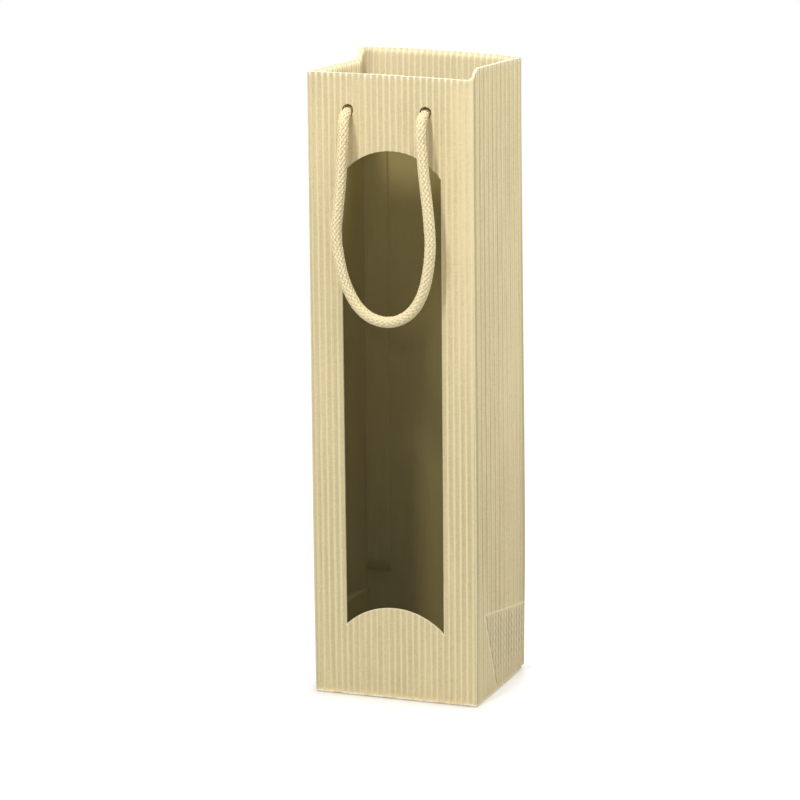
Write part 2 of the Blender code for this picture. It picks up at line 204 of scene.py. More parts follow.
class BagColours(bpy.types.PropertyGroup):
    """Colours of the bag, linear."""

    board: colour_property("Board", "Fluted outside and hem", 0.730, 0.620, 0.365)
    # Partly the ply's own browner kraft, partly painted shade of the dim inside of the bag
    ply: colour_property("Ply", "Smooth inside", 0.390, 0.312, 0.115)
    cut: colour_property("Cut edge", "Board where it is cut", 0.820, 0.720, 0.470)
    # Painted shade: the inside of a cord hole is darker than raw board, as no light reaches it
    shaded_hole: colour_property("Punched edge", "Board inside a cord hole", 0.170, 0.160, 0.085)
    # Colour of worn edges, also used for painted highlight on the rim, creases, sill and print, and
    # for painted light on the hem
    rubbed_and_lit: colour_property("Rubbed edge", "Board where it is rubbed", 0.900, 0.810, 0.580)
    torn: colour_property("Torn foot", "Board where its foot is torn", 0.950, 0.880, 0.660)
    stain: colour_property("Stain", "Stains along the foot", 0.800, 0.600, 0.300)
    # Painted highlight on the flute crests bent over the rim, which catch the light from above
    bent: colour_property("Bent crests", "Crests of the flutes on the rim", 1.000, 0.940, 0.760)
    cord: colour_property("Cord", "Cotton of the handle", 0.875, 0.745, 0.455)
    film: colour_property("Film", "Tint of the window film", 0.090, 0.080, 0.035)


def maths_method(operation, turned=False):
    """A method for one of Python's operators, which adds the Math node of that name."""

    def method(self, other):
        return self.maths(operation, *((other, self) if turned else (self, other)))

    return method


class Term:
    """A node's socket, so that sums on it are written as Python and add their Math nodes."""

    __add__ = maths_method("ADD")
    __radd__ = maths_method("ADD", turned=True)
    __sub__ = maths_method("SUBTRACT")
    __rsub__ = maths_method("SUBTRACT", turned=True)
    __mul__ = maths_method("MULTIPLY")
    __rmul__ = maths_method("MULTIPLY", turned=True)
    __truediv__ = maths_method("DIVIDE")
    __pow__ = maths_method("POWER")
    larger = maths_method("MAXIMUM")
    smaller = maths_method("MINIMUM")

    def __init__(self, graph, socket):
        self.graph = graph
        self.socket = socket

    def maths(self, operation, *values):
        return self.graph.node("ShaderNodeMath", {"operation": operation}, dict(enumerate(values)))

    def __abs__(self):
        return self.maths("ABSOLUTE", self)

    def cos(self):
        return self.maths("COSINE", self)

    def step(self, low, high):
        """0 below low, 1 above high, smooth between them. A low above high turns it round."""
        ends = {"Value": self, "From Min": low, "From Max": high}
        return self.graph.node("ShaderNodeMapRange", {"interpolation_type": "SMOOTHSTEP"}, ends)


class Graph:
    """A node tree that is being built."""

    def __init__(self, tree):
        self.tree = tree
        tree.nodes.clear()

    def node(self, kind, settings=None, inputs=None, output=0):
        """Adds a node, its settings first and then its sockets, and gives one of its outputs."""
        made = self.tree.nodes.new(kind)
        for name, value in (settings or {}).items():
            setattr(made, name, value)
        for name, value in (inputs or {}).items():
            if isinstance(value, Term):
                self.tree.links.new(value.socket, made.inputs[name])
            else:
                made.inputs[name].default_value = value
        return Term(self, made.outputs[output]) if made.outputs else None

    def outputs(self, term, *names):
        """The other outputs of the node that gave this one."""
        return [Term(self, term.socket.node.outputs[name]) for name in names]

    def split(self, vector):
        first = self.node("ShaderNodeSeparateXYZ", inputs={"Vector": vector})
        return self.outputs(first, "X", "Y", "Z")

    def join(self, x, y, z):
        return self.node("ShaderNodeCombineXYZ", inputs={"X": x, "Y": y, "Z": z})

    def scaled(self, vector, factors):
        inputs = {0: vector, 1: factors}
        return self.node("ShaderNodeVectorMath", {"operation": "MULTIPLY"}, inputs)

    def noise(self, place, scale, detail=2.0, roughness=0.5, upwards=1.0):
        """Noise, whose grains are drawn out upwards by a last value below 1."""
        if upwards != 1.0:
            place = self.scaled(place, (1.0, 1.0, upwards))
        inputs = {"Vector": place, "Scale": scale, "Detail": detail, "Roughness": roughness}
        return self.node("ShaderNodeTexNoise", inputs=inputs)

    def mixed(self, factor, first, second):
        """A colour between two others."""
        settings = {"data_type": "RGBA", "clamp_factor": True}
        return self.node("ShaderNodeMix", settings, {0: factor, 6: first, 7: second}, output=2)

    def carried(self, name):
        """A number that the piece's mesh carries at each point."""
        return self.node("ShaderNodeAttribute", {"attribute_name": name}, output="Fac")

    def bump(self, height, strength, distance):
        inputs = {"Height": height, "Strength": strength, "Distance": distance}
        return self.node("ShaderNodeBump", inputs=inputs)


def shade_of(colour, factor):
    """A lighter or darker copy of a colour."""
    return (*(min(1.0, part * factor) for part in colour[:3]), 1.0)


def start_material(name):
    """A new material, its node graph and the place of a point on the piece."""
    material = bpy.data.materials.new(name)
    material.use_nodes = True
    graph = Graph(material.node_tree)
    return material, graph, graph.node("ShaderNodeTexCoord", output="Object")


def finish_material(material, graph, colour, roughness, normal=None, **fixed):
    """Ends a material in a Principled shader. The fixed values are set on its own sockets."""
    inputs = {"Base Color": colour, "Roughness": roughness}
    if normal is not None:
        inputs["Normal"] = normal
    for name, value in fixed.items():
        inputs[name.replace("_", " ")] = value
    shader = graph.node("ShaderNodeBsdfPrincipled", inputs=inputs)
    graph.node("ShaderNodeOutputMaterial", inputs={"Surface": shader})
    return material


# In the sums and mixes of the materials, the number beside a mask is how strongly it shows.

# Grains: noise scale, detail, roughness, and how much they are squeezed upwards
UPWARDS_MOTTLE = (120.0, 3.0, 0.5, 0.25)
UPWARDS_FIBRE = (1500.0, 3.0, 0.6, 0.04)
CLOUDS = (14.0, 2.0)
# Patches in which the painted highlight on the crests shows more
OWN_CREST_LIGHT = (150.0, 1.0, 0.5, 0.03)
PATCHES = (42.0, 2.0, 0.5, 0.35)
STREAKS = (620.0, 2.0, 0.6, 0.02)
WEAVE_UP = (1500.0, 1.0, 0.5, 0.3)
WEAVE_ACROSS = (450.0, 1.0, 0.5, 3.333)
SPECKS = (2600.0, 2.0, 0.7)
FOOT_BREAKS = (260.0, 2.0)
PRINT_RAGGEDNESS = (160.0, 2.0)
BOARD_TOOTH = (700.0, 3.0)
PLY_TOOTH = (500.0, 3.0)
CUT_FIBRES = (1800.0, 3.0, 0.7)
COTTON_FUZZ = (2400.0, 3.0, 0.7)
COTTON_CLOUDS = (90.0, 2.0)
CORE_FIBRES = (1500.0, 2.0)
FILM_HAZE = (22.0, 3.0, 0.55)
FILM_WAVES = (60.0, 2.0)
FLOOR_GRAIN = (3.0, 2.0)


def paper_tone(graph, place):
    """Mottling, fibres that run upwards and soft clouds, as one tone about 0.5, and the fibres."""
    mottle = graph.noise(place, *UPWARDS_MOTTLE) - 0.5
    fibre = graph.noise(place, *UPWARDS_FIBRE)
    cloud = graph.noise(place, *CLOUDS) - 0.5
    return 0.5 + mottle * 0.45 + (fibre - 0.5) * 0.9 + cloud * 0.4, fibre


class BoardPlace:
    """Where a point of the board lies: x, y and z, 1 on the side walls, and how far along."""

    def __init__(self, graph, place):
        self.x, self.y, self.z = graph.split(place)
        nearer_side = abs(self.x) / HALF_WIDTH - abs(self.y) / HALF_DEPTH
        self.on_side = nearer_side.step(-0.002, 0.002)
        self.on_front_or_back = 1.0 - self.on_side
        self.along = self.x * self.on_front_or_back + self.y * self.on_side


# The pale upper right end of the front wall
PALE_ACROSS = (0.0290, 0.0440)
PALE_UPWARDS = (0.1200, 0.3000)
FRONT_HALF = (0.0000, -0.0100)

# Heights between which painted shade darkens the board towards the bottom, the side walls most, and
# the foot is stained and torn
LOW_SHADE_HEIGHT = (0.2100, 0.0000)
STAIN_HEIGHT = (0.0065, 0.0015)
TORN_HEIGHT = (0.0020, 0.0012)

# Where the painted shade in a side wall's valleys grows darker towards the front
DARKER_VALLEY_SHADE = (-0.0120, -0.0340)


def board_material(colours, sizes):
    """Fluted outer ply: cream kraft, with painted highlight on the crests and painted shade in the
    valleys, by the creases and towards the bottom, worn light with painted highlight on edges and
    creases.
    """
    material, graph, place = start_material("fluted_board")
    at = BoardPlace(graph, place)
    pitch = 2 * HALF_WIDTH / sizes.front_flutes
    wave = (at.along * (math.tau / pitch)).cos()
    own = graph.noise(place, *OWN_CREST_LIGHT).step(0.30, 0.65)
    pale = at.x.step(*PALE_ACROSS) * at.z.step(*PALE_UPWARDS)
    pale = pale * at.on_front_or_back * at.y.step(*FRONT_HALF)
    patch = graph.noise(place, *PATCHES).step(0.38, 0.62)
    # Painted highlight along the flute crests, stronger in patches
    crest = (wave * 0.5 + 0.5) ** 7.0 * (0.45 + own * 0.55) * (0.80 + patch * 0.35)
    # Painted shade in the flute valleys
    valley = board_valley(at, wave, pitch, patch)
    dashes, outline, shade, flat = foot_print(graph, at)
    valley = valley * (1.0 - flat * 0.85) * (1.0 - pale * 0.65)

    tone, fibre = paper_tone(graph, place)
    streak = graph.noise(place, *STREAKS) - 0.5
    weave = graph.noise(place, *WEAVE_UP) + graph.noise(place, *WEAVE_ACROSS) - 1.0
    tone = tone + crest * 0.82 * (1.0 - pale * 0.6) + streak * 1.2 + weave * 0.9 + pale * 0.42
    colour = graph.mixed(tone, shade_of(colours.board, 0.86), shade_of(colours.board, 1.12))

    speck = graph.noise(place, *SPECKS).step(0.68, 0.76)
    # Dark specks of the paper, with painted shade in the valleys, in the print's dents and its
    # shaded side, and by the creases
    specks_and_painted_shade = (speck * 0.35).larger(valley * 0.55).larger(dashes * 0.95 + shade * 0.45)
    specks_and_painted_shade = specks_and_painted_shade.larger(crease_shade(at))
    # Painted shade that darkens the board towards the bottom, most on the side walls
    painted_low_shade = at.z.step(*LOW_SHADE_HEIGHT) * (0.01 + at.on_side * 0.18)
    colour = graph.mixed((specks_and_painted_shade + painted_low_shade).smaller(1.0), colour, shade_of(colours.board, 0.55))

    wear_and_light = graph.carried("wear_and_light")
    sill = sill_highlight(at) * (0.72 + wave * 0.28)
    # Worn edges mixed with painted highlight on the rim, creases, crests near the rim, the sill and
    # the print's edges, and painted light on the hem
    rubbed_and_lit = (wear_and_light * 0.6 + wear_and_light.step(0.02, 0.20) * crest * 0.5).larger(sill).larger(outline * 0.45)
    colour = graph.mixed(rubbed_and_lit, colour, tuple(colours.rubbed_and_lit))
    # Painted highlight on the crests bent over the rim
    tick = graph.carried("fold") * (wave * 0.5 + 0.5) ** 4.0 * (0.34 + own * 0.46)
    colour = graph.mixed(tick, colour, tuple(colours.bent))
    broken = graph.noise(place, *FOOT_BREAKS)
    stained = at.z.step(*STAIN_HEIGHT) * broken.step(0.40, 0.60) * 0.45
    colour = graph.mixed(stained, colour, tuple(colours.stain))
    torn = at.z.step(*TORN_HEIGHT) * broken.step(0.62, 0.46) * 0.6
    colour = graph.mixed(torn, colour, tuple(colours.torn))

    height = fibre * 0.5 + graph.noise(place, *BOARD_TOOTH) * 0.5 - dashes * 5.0 + outline * 3.0
    normal = graph.bump(height, 0.5, 0.00008)
    return finish_material(material, graph, colour, 0.86, normal, Specular_IOR_Level=0.25)


def board_valley(at, wave, pitch, patch):
    """Painted shade in the valleys: even in front and at the back, every second one at the sides.
    """
    low = 0.5 - wave * 0.5
    trough = (low**1.5 - low**8.0 * 0.5) * 0.80 * (0.75 + patch * 0.50)
    odd = ((at.along / pitch + 0.5) * math.pi).cos() * 0.5 + 0.5
    # Every second valley of a side wall gets painted shade, darker towards the front
    pressed = low**3.0 * odd * (1.6 + at.y.step(*DARKER_VALLEY_SHADE) * 0.6)
    return trough * at.on_front_or_back + pressed * at.on_side


# Painted shade by the creases: the side walls' dark line and its softness, measured from the
# crease, the strip at the front's left end, and inside the mouth the strip at the back hem's left
# end, which paints the left wall's shadow there
SIDE_LINE_FROM_CREASE = 0.0014
SIDE_LINE = (0.0010, 0.0003)
FRONT_STRIP = (0.0026, 0.0012)
INNER_STRIP = (0.0190, 0.0030)
INSIDE_HEM = (0.0012, 0.0018)
BACK_HALF = (0.0000, 0.0100)


def crease_shade(at):
    """Painted shade: dark lines beside the creases of a side wall, and duller strips at two ends of
    walls.
    """
    from_left = at.x + HALF_WIDTH
    strip = from_left.step(*FRONT_STRIP) * at.on_front_or_back * 0.35
    line = abs(HALF_DEPTH - abs(at.y) - SIDE_LINE_FROM_CREASE).step(*SIDE_LINE) * at.on_side
    inner = (HALF_DEPTH - at.y).step(*INSIDE_HEM) * at.y.step(*BACK_HALF) * at.on_front_or_back
    return strip.larger(line * 0.6).larger(from_left.step(*INNER_STRIP) * inner * 0.8)


def behind_print(y, height):
    """How far a point is behind the slanted front edge of the tab's print."""
    return y - (PRINT_FRONT_FOOT - height * PRINT_LEAN)


# The print's lines: where they start and end, across the slanted edge and below the top one
SLANTED_LINE = (0.0013, 0.0003)
TOP_LINE = (0.0010, 0.0002)
SHADED_SIDE = 0.0022
SHADED_LINE = (0.0014, 0.0004)
LINE_END = (-0.0004, 0.0004)
PRINT_FADE_HEIGHT = (0.0060, 0.0240)


def foot_print(graph, at):
    """Where a tab is glued inside a side wall. Its slanted flutes press through the upright ones in
    dashes of painted shade with painted glints, its two free edges show as lines of painted
    highlight, and the slanted one has a painted shaded side."""
    behind = behind_print(at.y, at.z)
    below = PRINT_FRONT_HEIGHT - (at.y - PRINT_FRONT_TOP) * PRINT_SLOPE - at.z
    under_top = below.step(*LINE_END)
    inside = behind.step(0.0002, 0.0010) * below.step(0.0010, 0.0030) * at.on_side
    ragged = (graph.noise(graph.join(at.y, 0.0, at.z), *PRINT_RAGGEDNESS) - 0.5) * 3.0
    upright = (at.y * (math.tau / DASH_SPACING) + ragged * 0.5).cos()
    crossing = (behind * (math.tau / TAB_FLUTE_SPACING) + ragged).cos()
    shown = inside * (0.35 + at.z.step(*PRINT_FADE_HEIGHT) * 0.65)
    dashes = upright.step(-0.20, 0.80) * crossing.step(-0.20, 0.60) * shown
    dashes = dashes.larger(upright.step(0.1, 0.9) * shown * 0.32)
    glints = upright.step(0.30, -0.70) * crossing.step(0.40, -0.60) * shown
    slanted = abs(behind).step(*SLANTED_LINE) * under_top
    top = abs(below).step(*TOP_LINE) * behind.step(*LINE_END)
    outline = (slanted.larger(top) * at.on_side).larger(glints * 0.8)
    shade = abs(behind - SHADED_SIDE).step(*SHADED_LINE) * under_top * at.on_side
    corner = at.y.step(*FLAT_CORNER_DEPTH) * at.z.step(*FLAT_CORNER_HEIGHT) * 0.8
    flat = below.step(-0.0010, 0.0020).larger(corner) * at.on_side
    return dashes, outline, shade, flat


# The sill's painted highlight: how far it reaches below the cut, and up to where it is looked for
SILL_LINE = (0.0009, 0.0002)
SILL_LINE_TOP = (0.0300, 0.0250)


def sill_highlight(at):
    """Painted highlight along the window's sill, where the board's torn edge faces up to the light.
    """
    radius = arc_radius(WINDOW_HALF, SILL_RISE)
    centre = WINDOW_FOOT + SILL_RISE - radius
    level = at.z + (at.x + WINDOW_HALF) * (SILL_LEAN / (2 * WINDOW_HALF)) - centre
    under = radius - (at.x * at.x + level * level) ** 0.5
    inside = abs(at.x).step(WINDOW_HALF + 0.0008, WINDOW_HALF) * at.on_front_or_back
    inside = inside * at.y.step(0.0, -0.001) * (at.z - WINDOW_FOOT).step(*SILL_LINE_TOP)
    return under.step(*SILL_LINE) * level.step(0.0, 0.001) * inside


def ply_material(colours):
    """Smooth inner ply: browner kraft, darkened further as painted shade of the dim inside."""
    material, graph, place = start_material("smooth_ply")
    tone, fibre = paper_tone(graph, place)
    colour = graph.mixed(tone, shade_of(colours.ply, 0.84), shade_of(colours.ply, 1.12))
    normal = graph.bump(fibre * 0.6 + graph.noise(place, *PLY_TOOTH) * 0.6, 0.4, 0.00006)
    return finish_material(material, graph, colour, 0.80, normal, Specular_IOR_Level=0.3)


def cut_material(name, base):
    """Raw edge of the board, fibrous."""
    material, graph, place = start_material(name)
    tone = graph.noise(place, *CUT_FIBRES)
    colour = graph.mixed(tone, shade_of(base, 0.80), shade_of(base, 1.15))
    normal = graph.bump(tone, 0.6, 0.00010)
    return finish_material(material, graph, colour, 0.92, normal, Specular_IOR_Level=0.2)


# How far into the wall, and how far past the hem, a cord in its hole turns dark and light again
HOLE_SHADE_FRONT = (0.0000, 0.0008)
HOLE_SHADE_BACK = (0.0035, 0.0015)
HOLE_SHADE = 0.60


def darker_in_hole(graph, place, colour, cord):
    """A cord's colour, darkened inside its hole, which no light reaches."""
    y = graph.split(place)[1]
    inside = (y + HALF_DEPTH).step(*HOLE_SHADE_FRONT) * (y + HEM_FACE).step(*HOLE_SHADE_BACK)
    return graph.mixed(inside * HOLE_SHADE, colour, shade_of(cord, 0.20))


# Yarns side by side in a strand, and the length in which they go once round it
YARNS = 6.0
YARN_LAY = 0.0042


def cord_material(colours):
    """Cotton yarns that run along each strand of the braid, with soft fuzz."""
    material, graph, place = start_material("braided_cotton")
    across, far = graph.split(graph.node("ShaderNodeUVMap", {"uv_map": "strand"}))[:2]
    yarn = ((across * YARNS + far / YARN_LAY) * math.tau).cos()
    fuzz = graph.noise(place, *COTTON_FUZZ)
    cloud = graph.noise(place, *COTTON_CLOUDS) - 0.5
    tone = 0.5 + yarn * 0.16 + (fuzz - 0.5) * 0.7 + cloud * 0.3
    colour = graph.mixed(tone, shade_of(colours.cord, 0.88), shade_of(colours.cord, 1.06))
    colour = darker_in_hole(graph, place, colour, colours.cord)
    normal = graph.bump(yarn * 0.5 + fuzz * 0.9, 0.7, 0.00012)
    fixed = {"Sheen_Weight": 0.12, "Sheen_Roughness": 0.5, "Specular_IOR_Level": 0.2}
    return finish_material(material, graph, colour, 0.93, normal, **fixed)


def core_material(colours):
    """What shows between the strands: the cord's shaded core."""
    material, graph, place = start_material("cord_core")
    tone = graph.noise(place, *CORE_FIBRES)
    colour = graph.mixed(tone, shade_of(colours.cord, 0.62), shade_of(colours.cord, 0.80))
    colour = darker_in_hole(graph, place, colour, colours.cord)
    return finish_material(material, graph, colour, 0.95, Specular_IOR_Level=0.1)


def film_material(colours):
    """Clear film, a little tinted, glossy, with faint haze where it has rubbed."""
    material, graph, place = start_material("window_film_gloss")
    haze = graph.noise(place, *FILM_HAZE).step(0.50, 0.78)
    colour = graph.mixed(haze * 0.3, tuple(colours.film), shade_of(colours.film, 2.2))
    normal = graph.bump(graph.noise(place, *FILM_WAVES), 0.10, 0.0006)
    fixed = {"Alpha": 0.14 + haze * 0.05, "Specular_IOR_Level": 0.15}
    return finish_material(material, graph, colour, 0.07 + haze * 0.10, normal, **fixed)


def material_named(name):
    """The material of that name, made when it is first asked for."""
    colours = bpy.context.scene.bag_colours
    sizes = bpy.context.scene.bag_sizes
    makers = {
        "fluted_board": lambda: board_material(colours, sizes),
        "smooth_ply": lambda: ply_material(colours),
        "cut_edge": lambda: cut_material("cut_edge", colours.cut),
        "shaded_hole_edge": lambda: cut_material("shaded_hole_edge", colours.shaded_hole),
        "braided_cotton": lambda: cord_material(colours),
        "cord_core": lambda: core_material(colours),
        "window_film_gloss": lambda: film_material(colours),
    }
    return bpy.data.materials.get(name) or makers[name]()


def new_object(name, data):
    """An object in the scene that shows this data."""
    obj = bpy.data.objects.new(name, data)
    bpy.context.scene.collection.objects.link(obj)
    return obj


def made_plain(obj):
    """Puts an object's evaluated shape into its own mesh and drops its modifiers."""
    bpy.context.view_layer.update()
    depsgraph = bpy.context.evaluated_depsgraph_get()
    mesh = bpy.data.meshes.new_from_object(obj.evaluated_get(depsgraph))
    old = obj.data
    obj.modifiers.clear()
    obj.data = mesh
    mesh.name = obj.name
    bpy.data.meshes.remove(old)


def smooth(mesh, angle):
    """Smooth shading, with edges sharper than the angle left sharp."""
    mesh.polygons.foreach_set("use_smooth", [True] * len(mesh.polygons))
    mesh.set_sharp_from_angle(angle=angle)


def eased(share):
    """0 to 1, flat at both ends."""
    share = min(1.0, max(0.0, share))
    return share * share * (3 - 2 * share)


def ramp(value, low, high):
    """0 below low, 1 above high, smooth between them. A low above high turns it round."""
    return eased((value - low) / (high - low))


# Points between two of a route's own, from which evenly spaced ones are picked
CURVE_STEPS = 16


def smooth_points(route, spacing):
    """Points about that far apart on a Catmull-Rom curve through the route, its ends included."""
    before = 2 * route[0] - route[1]
    after = 2 * route[-1] - route[-2]
    knots = [before] + route + [after]
    fine = []
    for i in range(1, len(knots) - 2):
        a, b, c, d = knots[i - 1 : i + 3]
        for step in range(CURVE_STEPS):
            t = step / CURVE_STEPS
            bend = (2 * a - 5 * b + 4 * c - d) * t**2 + (3 * b - 3 * c + d - a) * t**3
            fine.append((2 * b + (c - a) * t + bend) / 2)
    fine.append(route[-1])
    far = running_length(fine)
    count = round(far[-1] / spacing)
    points = []
    at = 0
    for i in range(count + 1):
        wanted = far[-1] * i / count
        while at < len(far) - 2 and far[at + 1] < wanted:
            at += 1
        share = (wanted - far[at]) / (far[at + 1] - far[at])
        points.append(fine[at].lerp(fine[at + 1], share))
    return points


def running_length(points):
    """How far along a line of points each of them is."""
    far = [0.0]
    for first, second in zip(points, points[1:]):
        far.append(far[-1] + (second - first).length)
    return far


def carried_frames(points):
    """The direction at each point, and two square to it that are carried along untwisted."""
    frames = []
    side = None
    for i, point in enumerate(points):
        ahead = points[min(i + 1, len(points) - 1)] - points[max(i - 1, 0)]
        ahead.normalize()
        if side is None:
            side = ahead.orthogonal()
        side = (side - ahead * side.dot(ahead)).normalized()
        frames.append((ahead, side, ahead.cross(side)))
    return frames


class MeshParts:
    """Vertices, faces, UVs and material numbers that are gathered for one mesh."""

    def __init__(self):
        self.verts = []
        self.faces = []
        self.uvs = []
        self.slots = []

    def add_tube(self, rings, far, slot):
        """A closed tube through rings of points. The UV is round the ring and along the tube."""
        start = len(self.verts)
        sides = len(rings[0])
        for ring in rings:
            self.verts.extend(ring)
        for k in range(len(rings) - 1):
            low = start + k * sides
            for i in range(sides):
                j = (i + 1) % sides
                self.faces.append((low + i, low + j, low + sides + j, low + sides + i))
                u, v = i / sides, (i + 1) / sides
                self.uvs.extend([(u, far[k]), (v, far[k]), (v, far[k + 1]), (u, far[k + 1])])
                self.slots.append(slot)
        last = start + (len(rings) - 1) * sides
        for ring in (range(start + sides - 1, start - 1, -1), range(last, last + sides)):
            self.faces.append(tuple(ring))
            self.uvs.extend([(0.5, 0.0)] * sides)
            self.slots.append(slot)

    def object(self, name, materials):
        """Everything gathered, as one object in the scene."""
        mesh = bpy.data.meshes.new(name)
        mesh.from_pydata(self.verts, [], self.faces)
        layer = mesh.uv_layers.new(name="strand")
        layer.data.foreach_set("uv", [part for uv in self.uvs for part in uv])
        mesh.polygons.foreach_set("material_index", self.slots)
        for material in materials:
            mesh.materials.append(material)
        obj = new_object(name, mesh)
        turn_outwards(mesh)
        return obj


def turn_outwards(mesh):
    """Turns all faces of closed shells outwards."""
    bm = bmesh.new()
    bm.from_mesh(mesh)
    bmesh.ops.recalc_face_normals(bm, faces=bm.faces)
    bm.to_mesh(mesh)
    bm.free()


# Strands of the braid: half go one way round and half the other, one over and one under. Its core
# takes every fourth of its points
STRANDS_EACH_WAY = 8
STRAND_WIDTH_SHARE = 0.290
STRAND_THICKNESS_SHARE = 0.105
STRAND_SIDES = 6
STRAND_WANDER = 0.16
STRAND_NOISE = Vector((3.7, 5.3, 450))
BRAID_LIFT_SHARE = 0.036
BRAID_STEP = 0.00055
CROSSING_SHARPNESS = 1.4
CORE_SHARE = 0.335
CORE_SIDES = 10
COARSE_STRIDE = 4
CORD_SHARP_ANGLE = math.radians(80)

# How much slimmer a cord is where its hole grips it
HOLE_PINCH = 0.25
HOLE_PINCH_LENGTH = 0.0090
HOLE_SAG = Vector((-0.0003, 0.0, -0.0009))


def add_braid(parts, points, diameter, lay):
    """A braided cord along points that are BRAID_STEP apart."""
    frames = carried_frames(points)
    far = running_length(points)
    from_end = [min(at, far[-1] - at) for at in far]
    pinch = [1 - HOLE_PINCH * (1 - eased(at / HOLE_PINCH_LENGTH)) for at in from_end]
    width = diameter * STRAND_WIDTH_SHARE
    thickness = diameter * STRAND_THICKNESS_SHARE
    for way in (1, -1):
        for strand in range(STRANDS_EACH_WAY):
            line, outs = strand_line(points, frames, far, way, strand, lay, diameter)
            line = [point + (at - point) * slim for point, at, slim in zip(points, line, pinch)]
            rings = []
            for k, (centre, out) in enumerate(zip(line, outs)):
                ahead = line[min(k + 1, len(line) - 1)] - line[max(k - 1, 0)]
                across = ahead.cross(out).normalized() * pinch[k]
                rings.append(oval(centre, across * width / 2, out * thickness / 2, STRAND_SIDES))
            parts.add_tube(rings, far, 0)
    radius = diameter * CORE_SHARE
    rings = []
    for point, (ahead, side, other), slim in zip(points, frames, pinch):
        rings.append(oval(point, side * radius * slim, other * radius * slim, CORE_SIDES))
    parts.add_tube(rings[::COARSE_STRIDE] + rings[-1:], far[::COARSE_STRIDE] + far[-1:], 1)


def strand_line(points, frames, far, way, strand, lay, diameter):
    """One strand's centre line, and the direction out of the cord at each of its points."""
    lift = diameter * BRAID_LIFT_SHARE
    mean = diameter * (1 - STRAND_THICKNESS_SHARE) / 2 - lift
    line = []
    outs = []
    for point, (ahead, side, other), length in zip(points, frames, far):
        crossing = 2 * STRANDS_EACH_WAY * length / lay
        drift = noise.noise(Vector((strand, way, length)) * STRAND_NOISE)
        round_cord = way * length / lay + (strand + STRAND_WANDER * drift) / STRANDS_EACH_WAY
        angle = math.tau * round_cord
        over = max(-1.0, min(1.0, CROSSING_SHARPNESS * math.cos(math.pi * crossing)))
        out = side * math.cos(angle) + other * math.sin(angle)
        line.append(point + out * (mean + way * over * lift * (1 + drift / 2)))
        outs.append(out)
    return line, outs


def oval(centre, first, second, sides):
    """A ring of points about a centre, between two half axes."""
    ring = []
    for i in range(sides):
        angle = math.tau * (i + 0.5) / sides
        ring.append(centre + first * math.cos(angle) + second * math.sin(angle))
    return ring


def handle_points():
    """The handle from inside its left hole to inside its right one."""
    middle = Vector((PIVOT.x, -HALF_DEPTH, PIVOT.z))
    half = HOLE_SPACING / 2
    left = []
    right = []
    for out, drop in HOLE_BEND:
        shift = (HOLE_SHIFT + HOLE_SAG) * (1 - eased(drop / HOLE_BEND[-1][1]))
        left.append(Vector((-half, -out, -drop)) + shift)
        right.insert(0, Vector((half, -out, -drop)) + shift)
    loop = [Vector((x, -out, -drop)) for x, out, drop in HANDLE_ROUTE]
    return smooth_points([middle + point for point in left + loop + right], BRAID_STEP)


class BAG_OT_handle(bpy.types.Operator):
    """Makes the braided cord handle, which hangs from its two holes in the front wall"""

    bl_idname = "bag.handle"
    bl_label = "Braided handle"

    def execute(self, context):
        points = handle_points()
        parts = MeshParts()
        add_braid(parts, points, BRAID_DIAMETER, context.scene.bag_sizes.braid_lay)
        cotton = [material_named("braided_cotton"), material_named("cord_core")]
        handle = parts.object("handle_braid", cotton)
        smooth(handle.data, CORD_SHARP_ANGLE)
        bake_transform(handle)
        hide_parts("handle_cord")
        running_length(points)[-1]
        points[::COARSE_STRIDE] + points[-1:]
        return {"FINISHED"}


# The knot, an open trefoil that its own depth and reach draw tight, and its tail
KNOT_DIAMETER = 0.0052
KNOT_RADIUS = 0.0046
KNOT_REACH = (0.62, 0.48)
KNOT_DEPTH = 0.0025
KNOT_GAP = 0.0008
KNOT_POINTS = 26
KNOT_START = (-0.0022, 0.0004)
TAIL_WAY = Vector((0.0012, 0.0020, -0.0085))
TAIL_SHARES = (0.45, 0.75, 1.0)

# Threads at a tail's end
FRAY_THREADS = 40
FRAY_LENGTH = 0.0040
FRAY_DIAMETER = 0.0004
FRAY_ROOT = 0.0010
FRAY_ROOT_SHARE = 0.46
FRAY_SPREAD = 0.0008
FRAY_DRIFT = 0.0012
FRAY_DRIFT_SCALE = 2.3
FRAY_DRIFT_START = 5.0
FRAY_UNEVENNESS = 0.4
FRAY_LENGTH_SCALE = 1.7
FRAY_STEPS = 4
FRAY_SIDES = 4


def knot_points(hole_x):
    """From the hole, through an overhand knot behind the hem, to the end of the tail."""
    face = Vector((hole_x, -HEM_FACE, PIVOT.z)) + HOLE_SHIFT
    centre = face + Vector((0.0, KNOT_DEPTH + KNOT_DIAMETER / 2 + KNOT_GAP, 0.0))
    route = [face + HOLE_SAG + Vector((0.0, y, 0.0)) for y in KNOT_START]
    middle, swing = KNOT_REACH
    for i in range(1, KNOT_POINTS):
        turn = math.tau * i / KNOT_POINTS
        reach = KNOT_RADIUS * (middle + swing * math.cos(3 * turn))
        depth = -KNOT_DEPTH * math.sin(3 * turn)
        angle = 2 * turn + math.pi
        place = Vector((reach * math.cos(angle), depth, reach * math.sin(angle)))
        route.append(centre + place)
    tip = route[-1]
    route += [tip + TAIL_WAY * share for share in TAIL_SHARES]
    return smooth_points(route, BRAID_STEP)


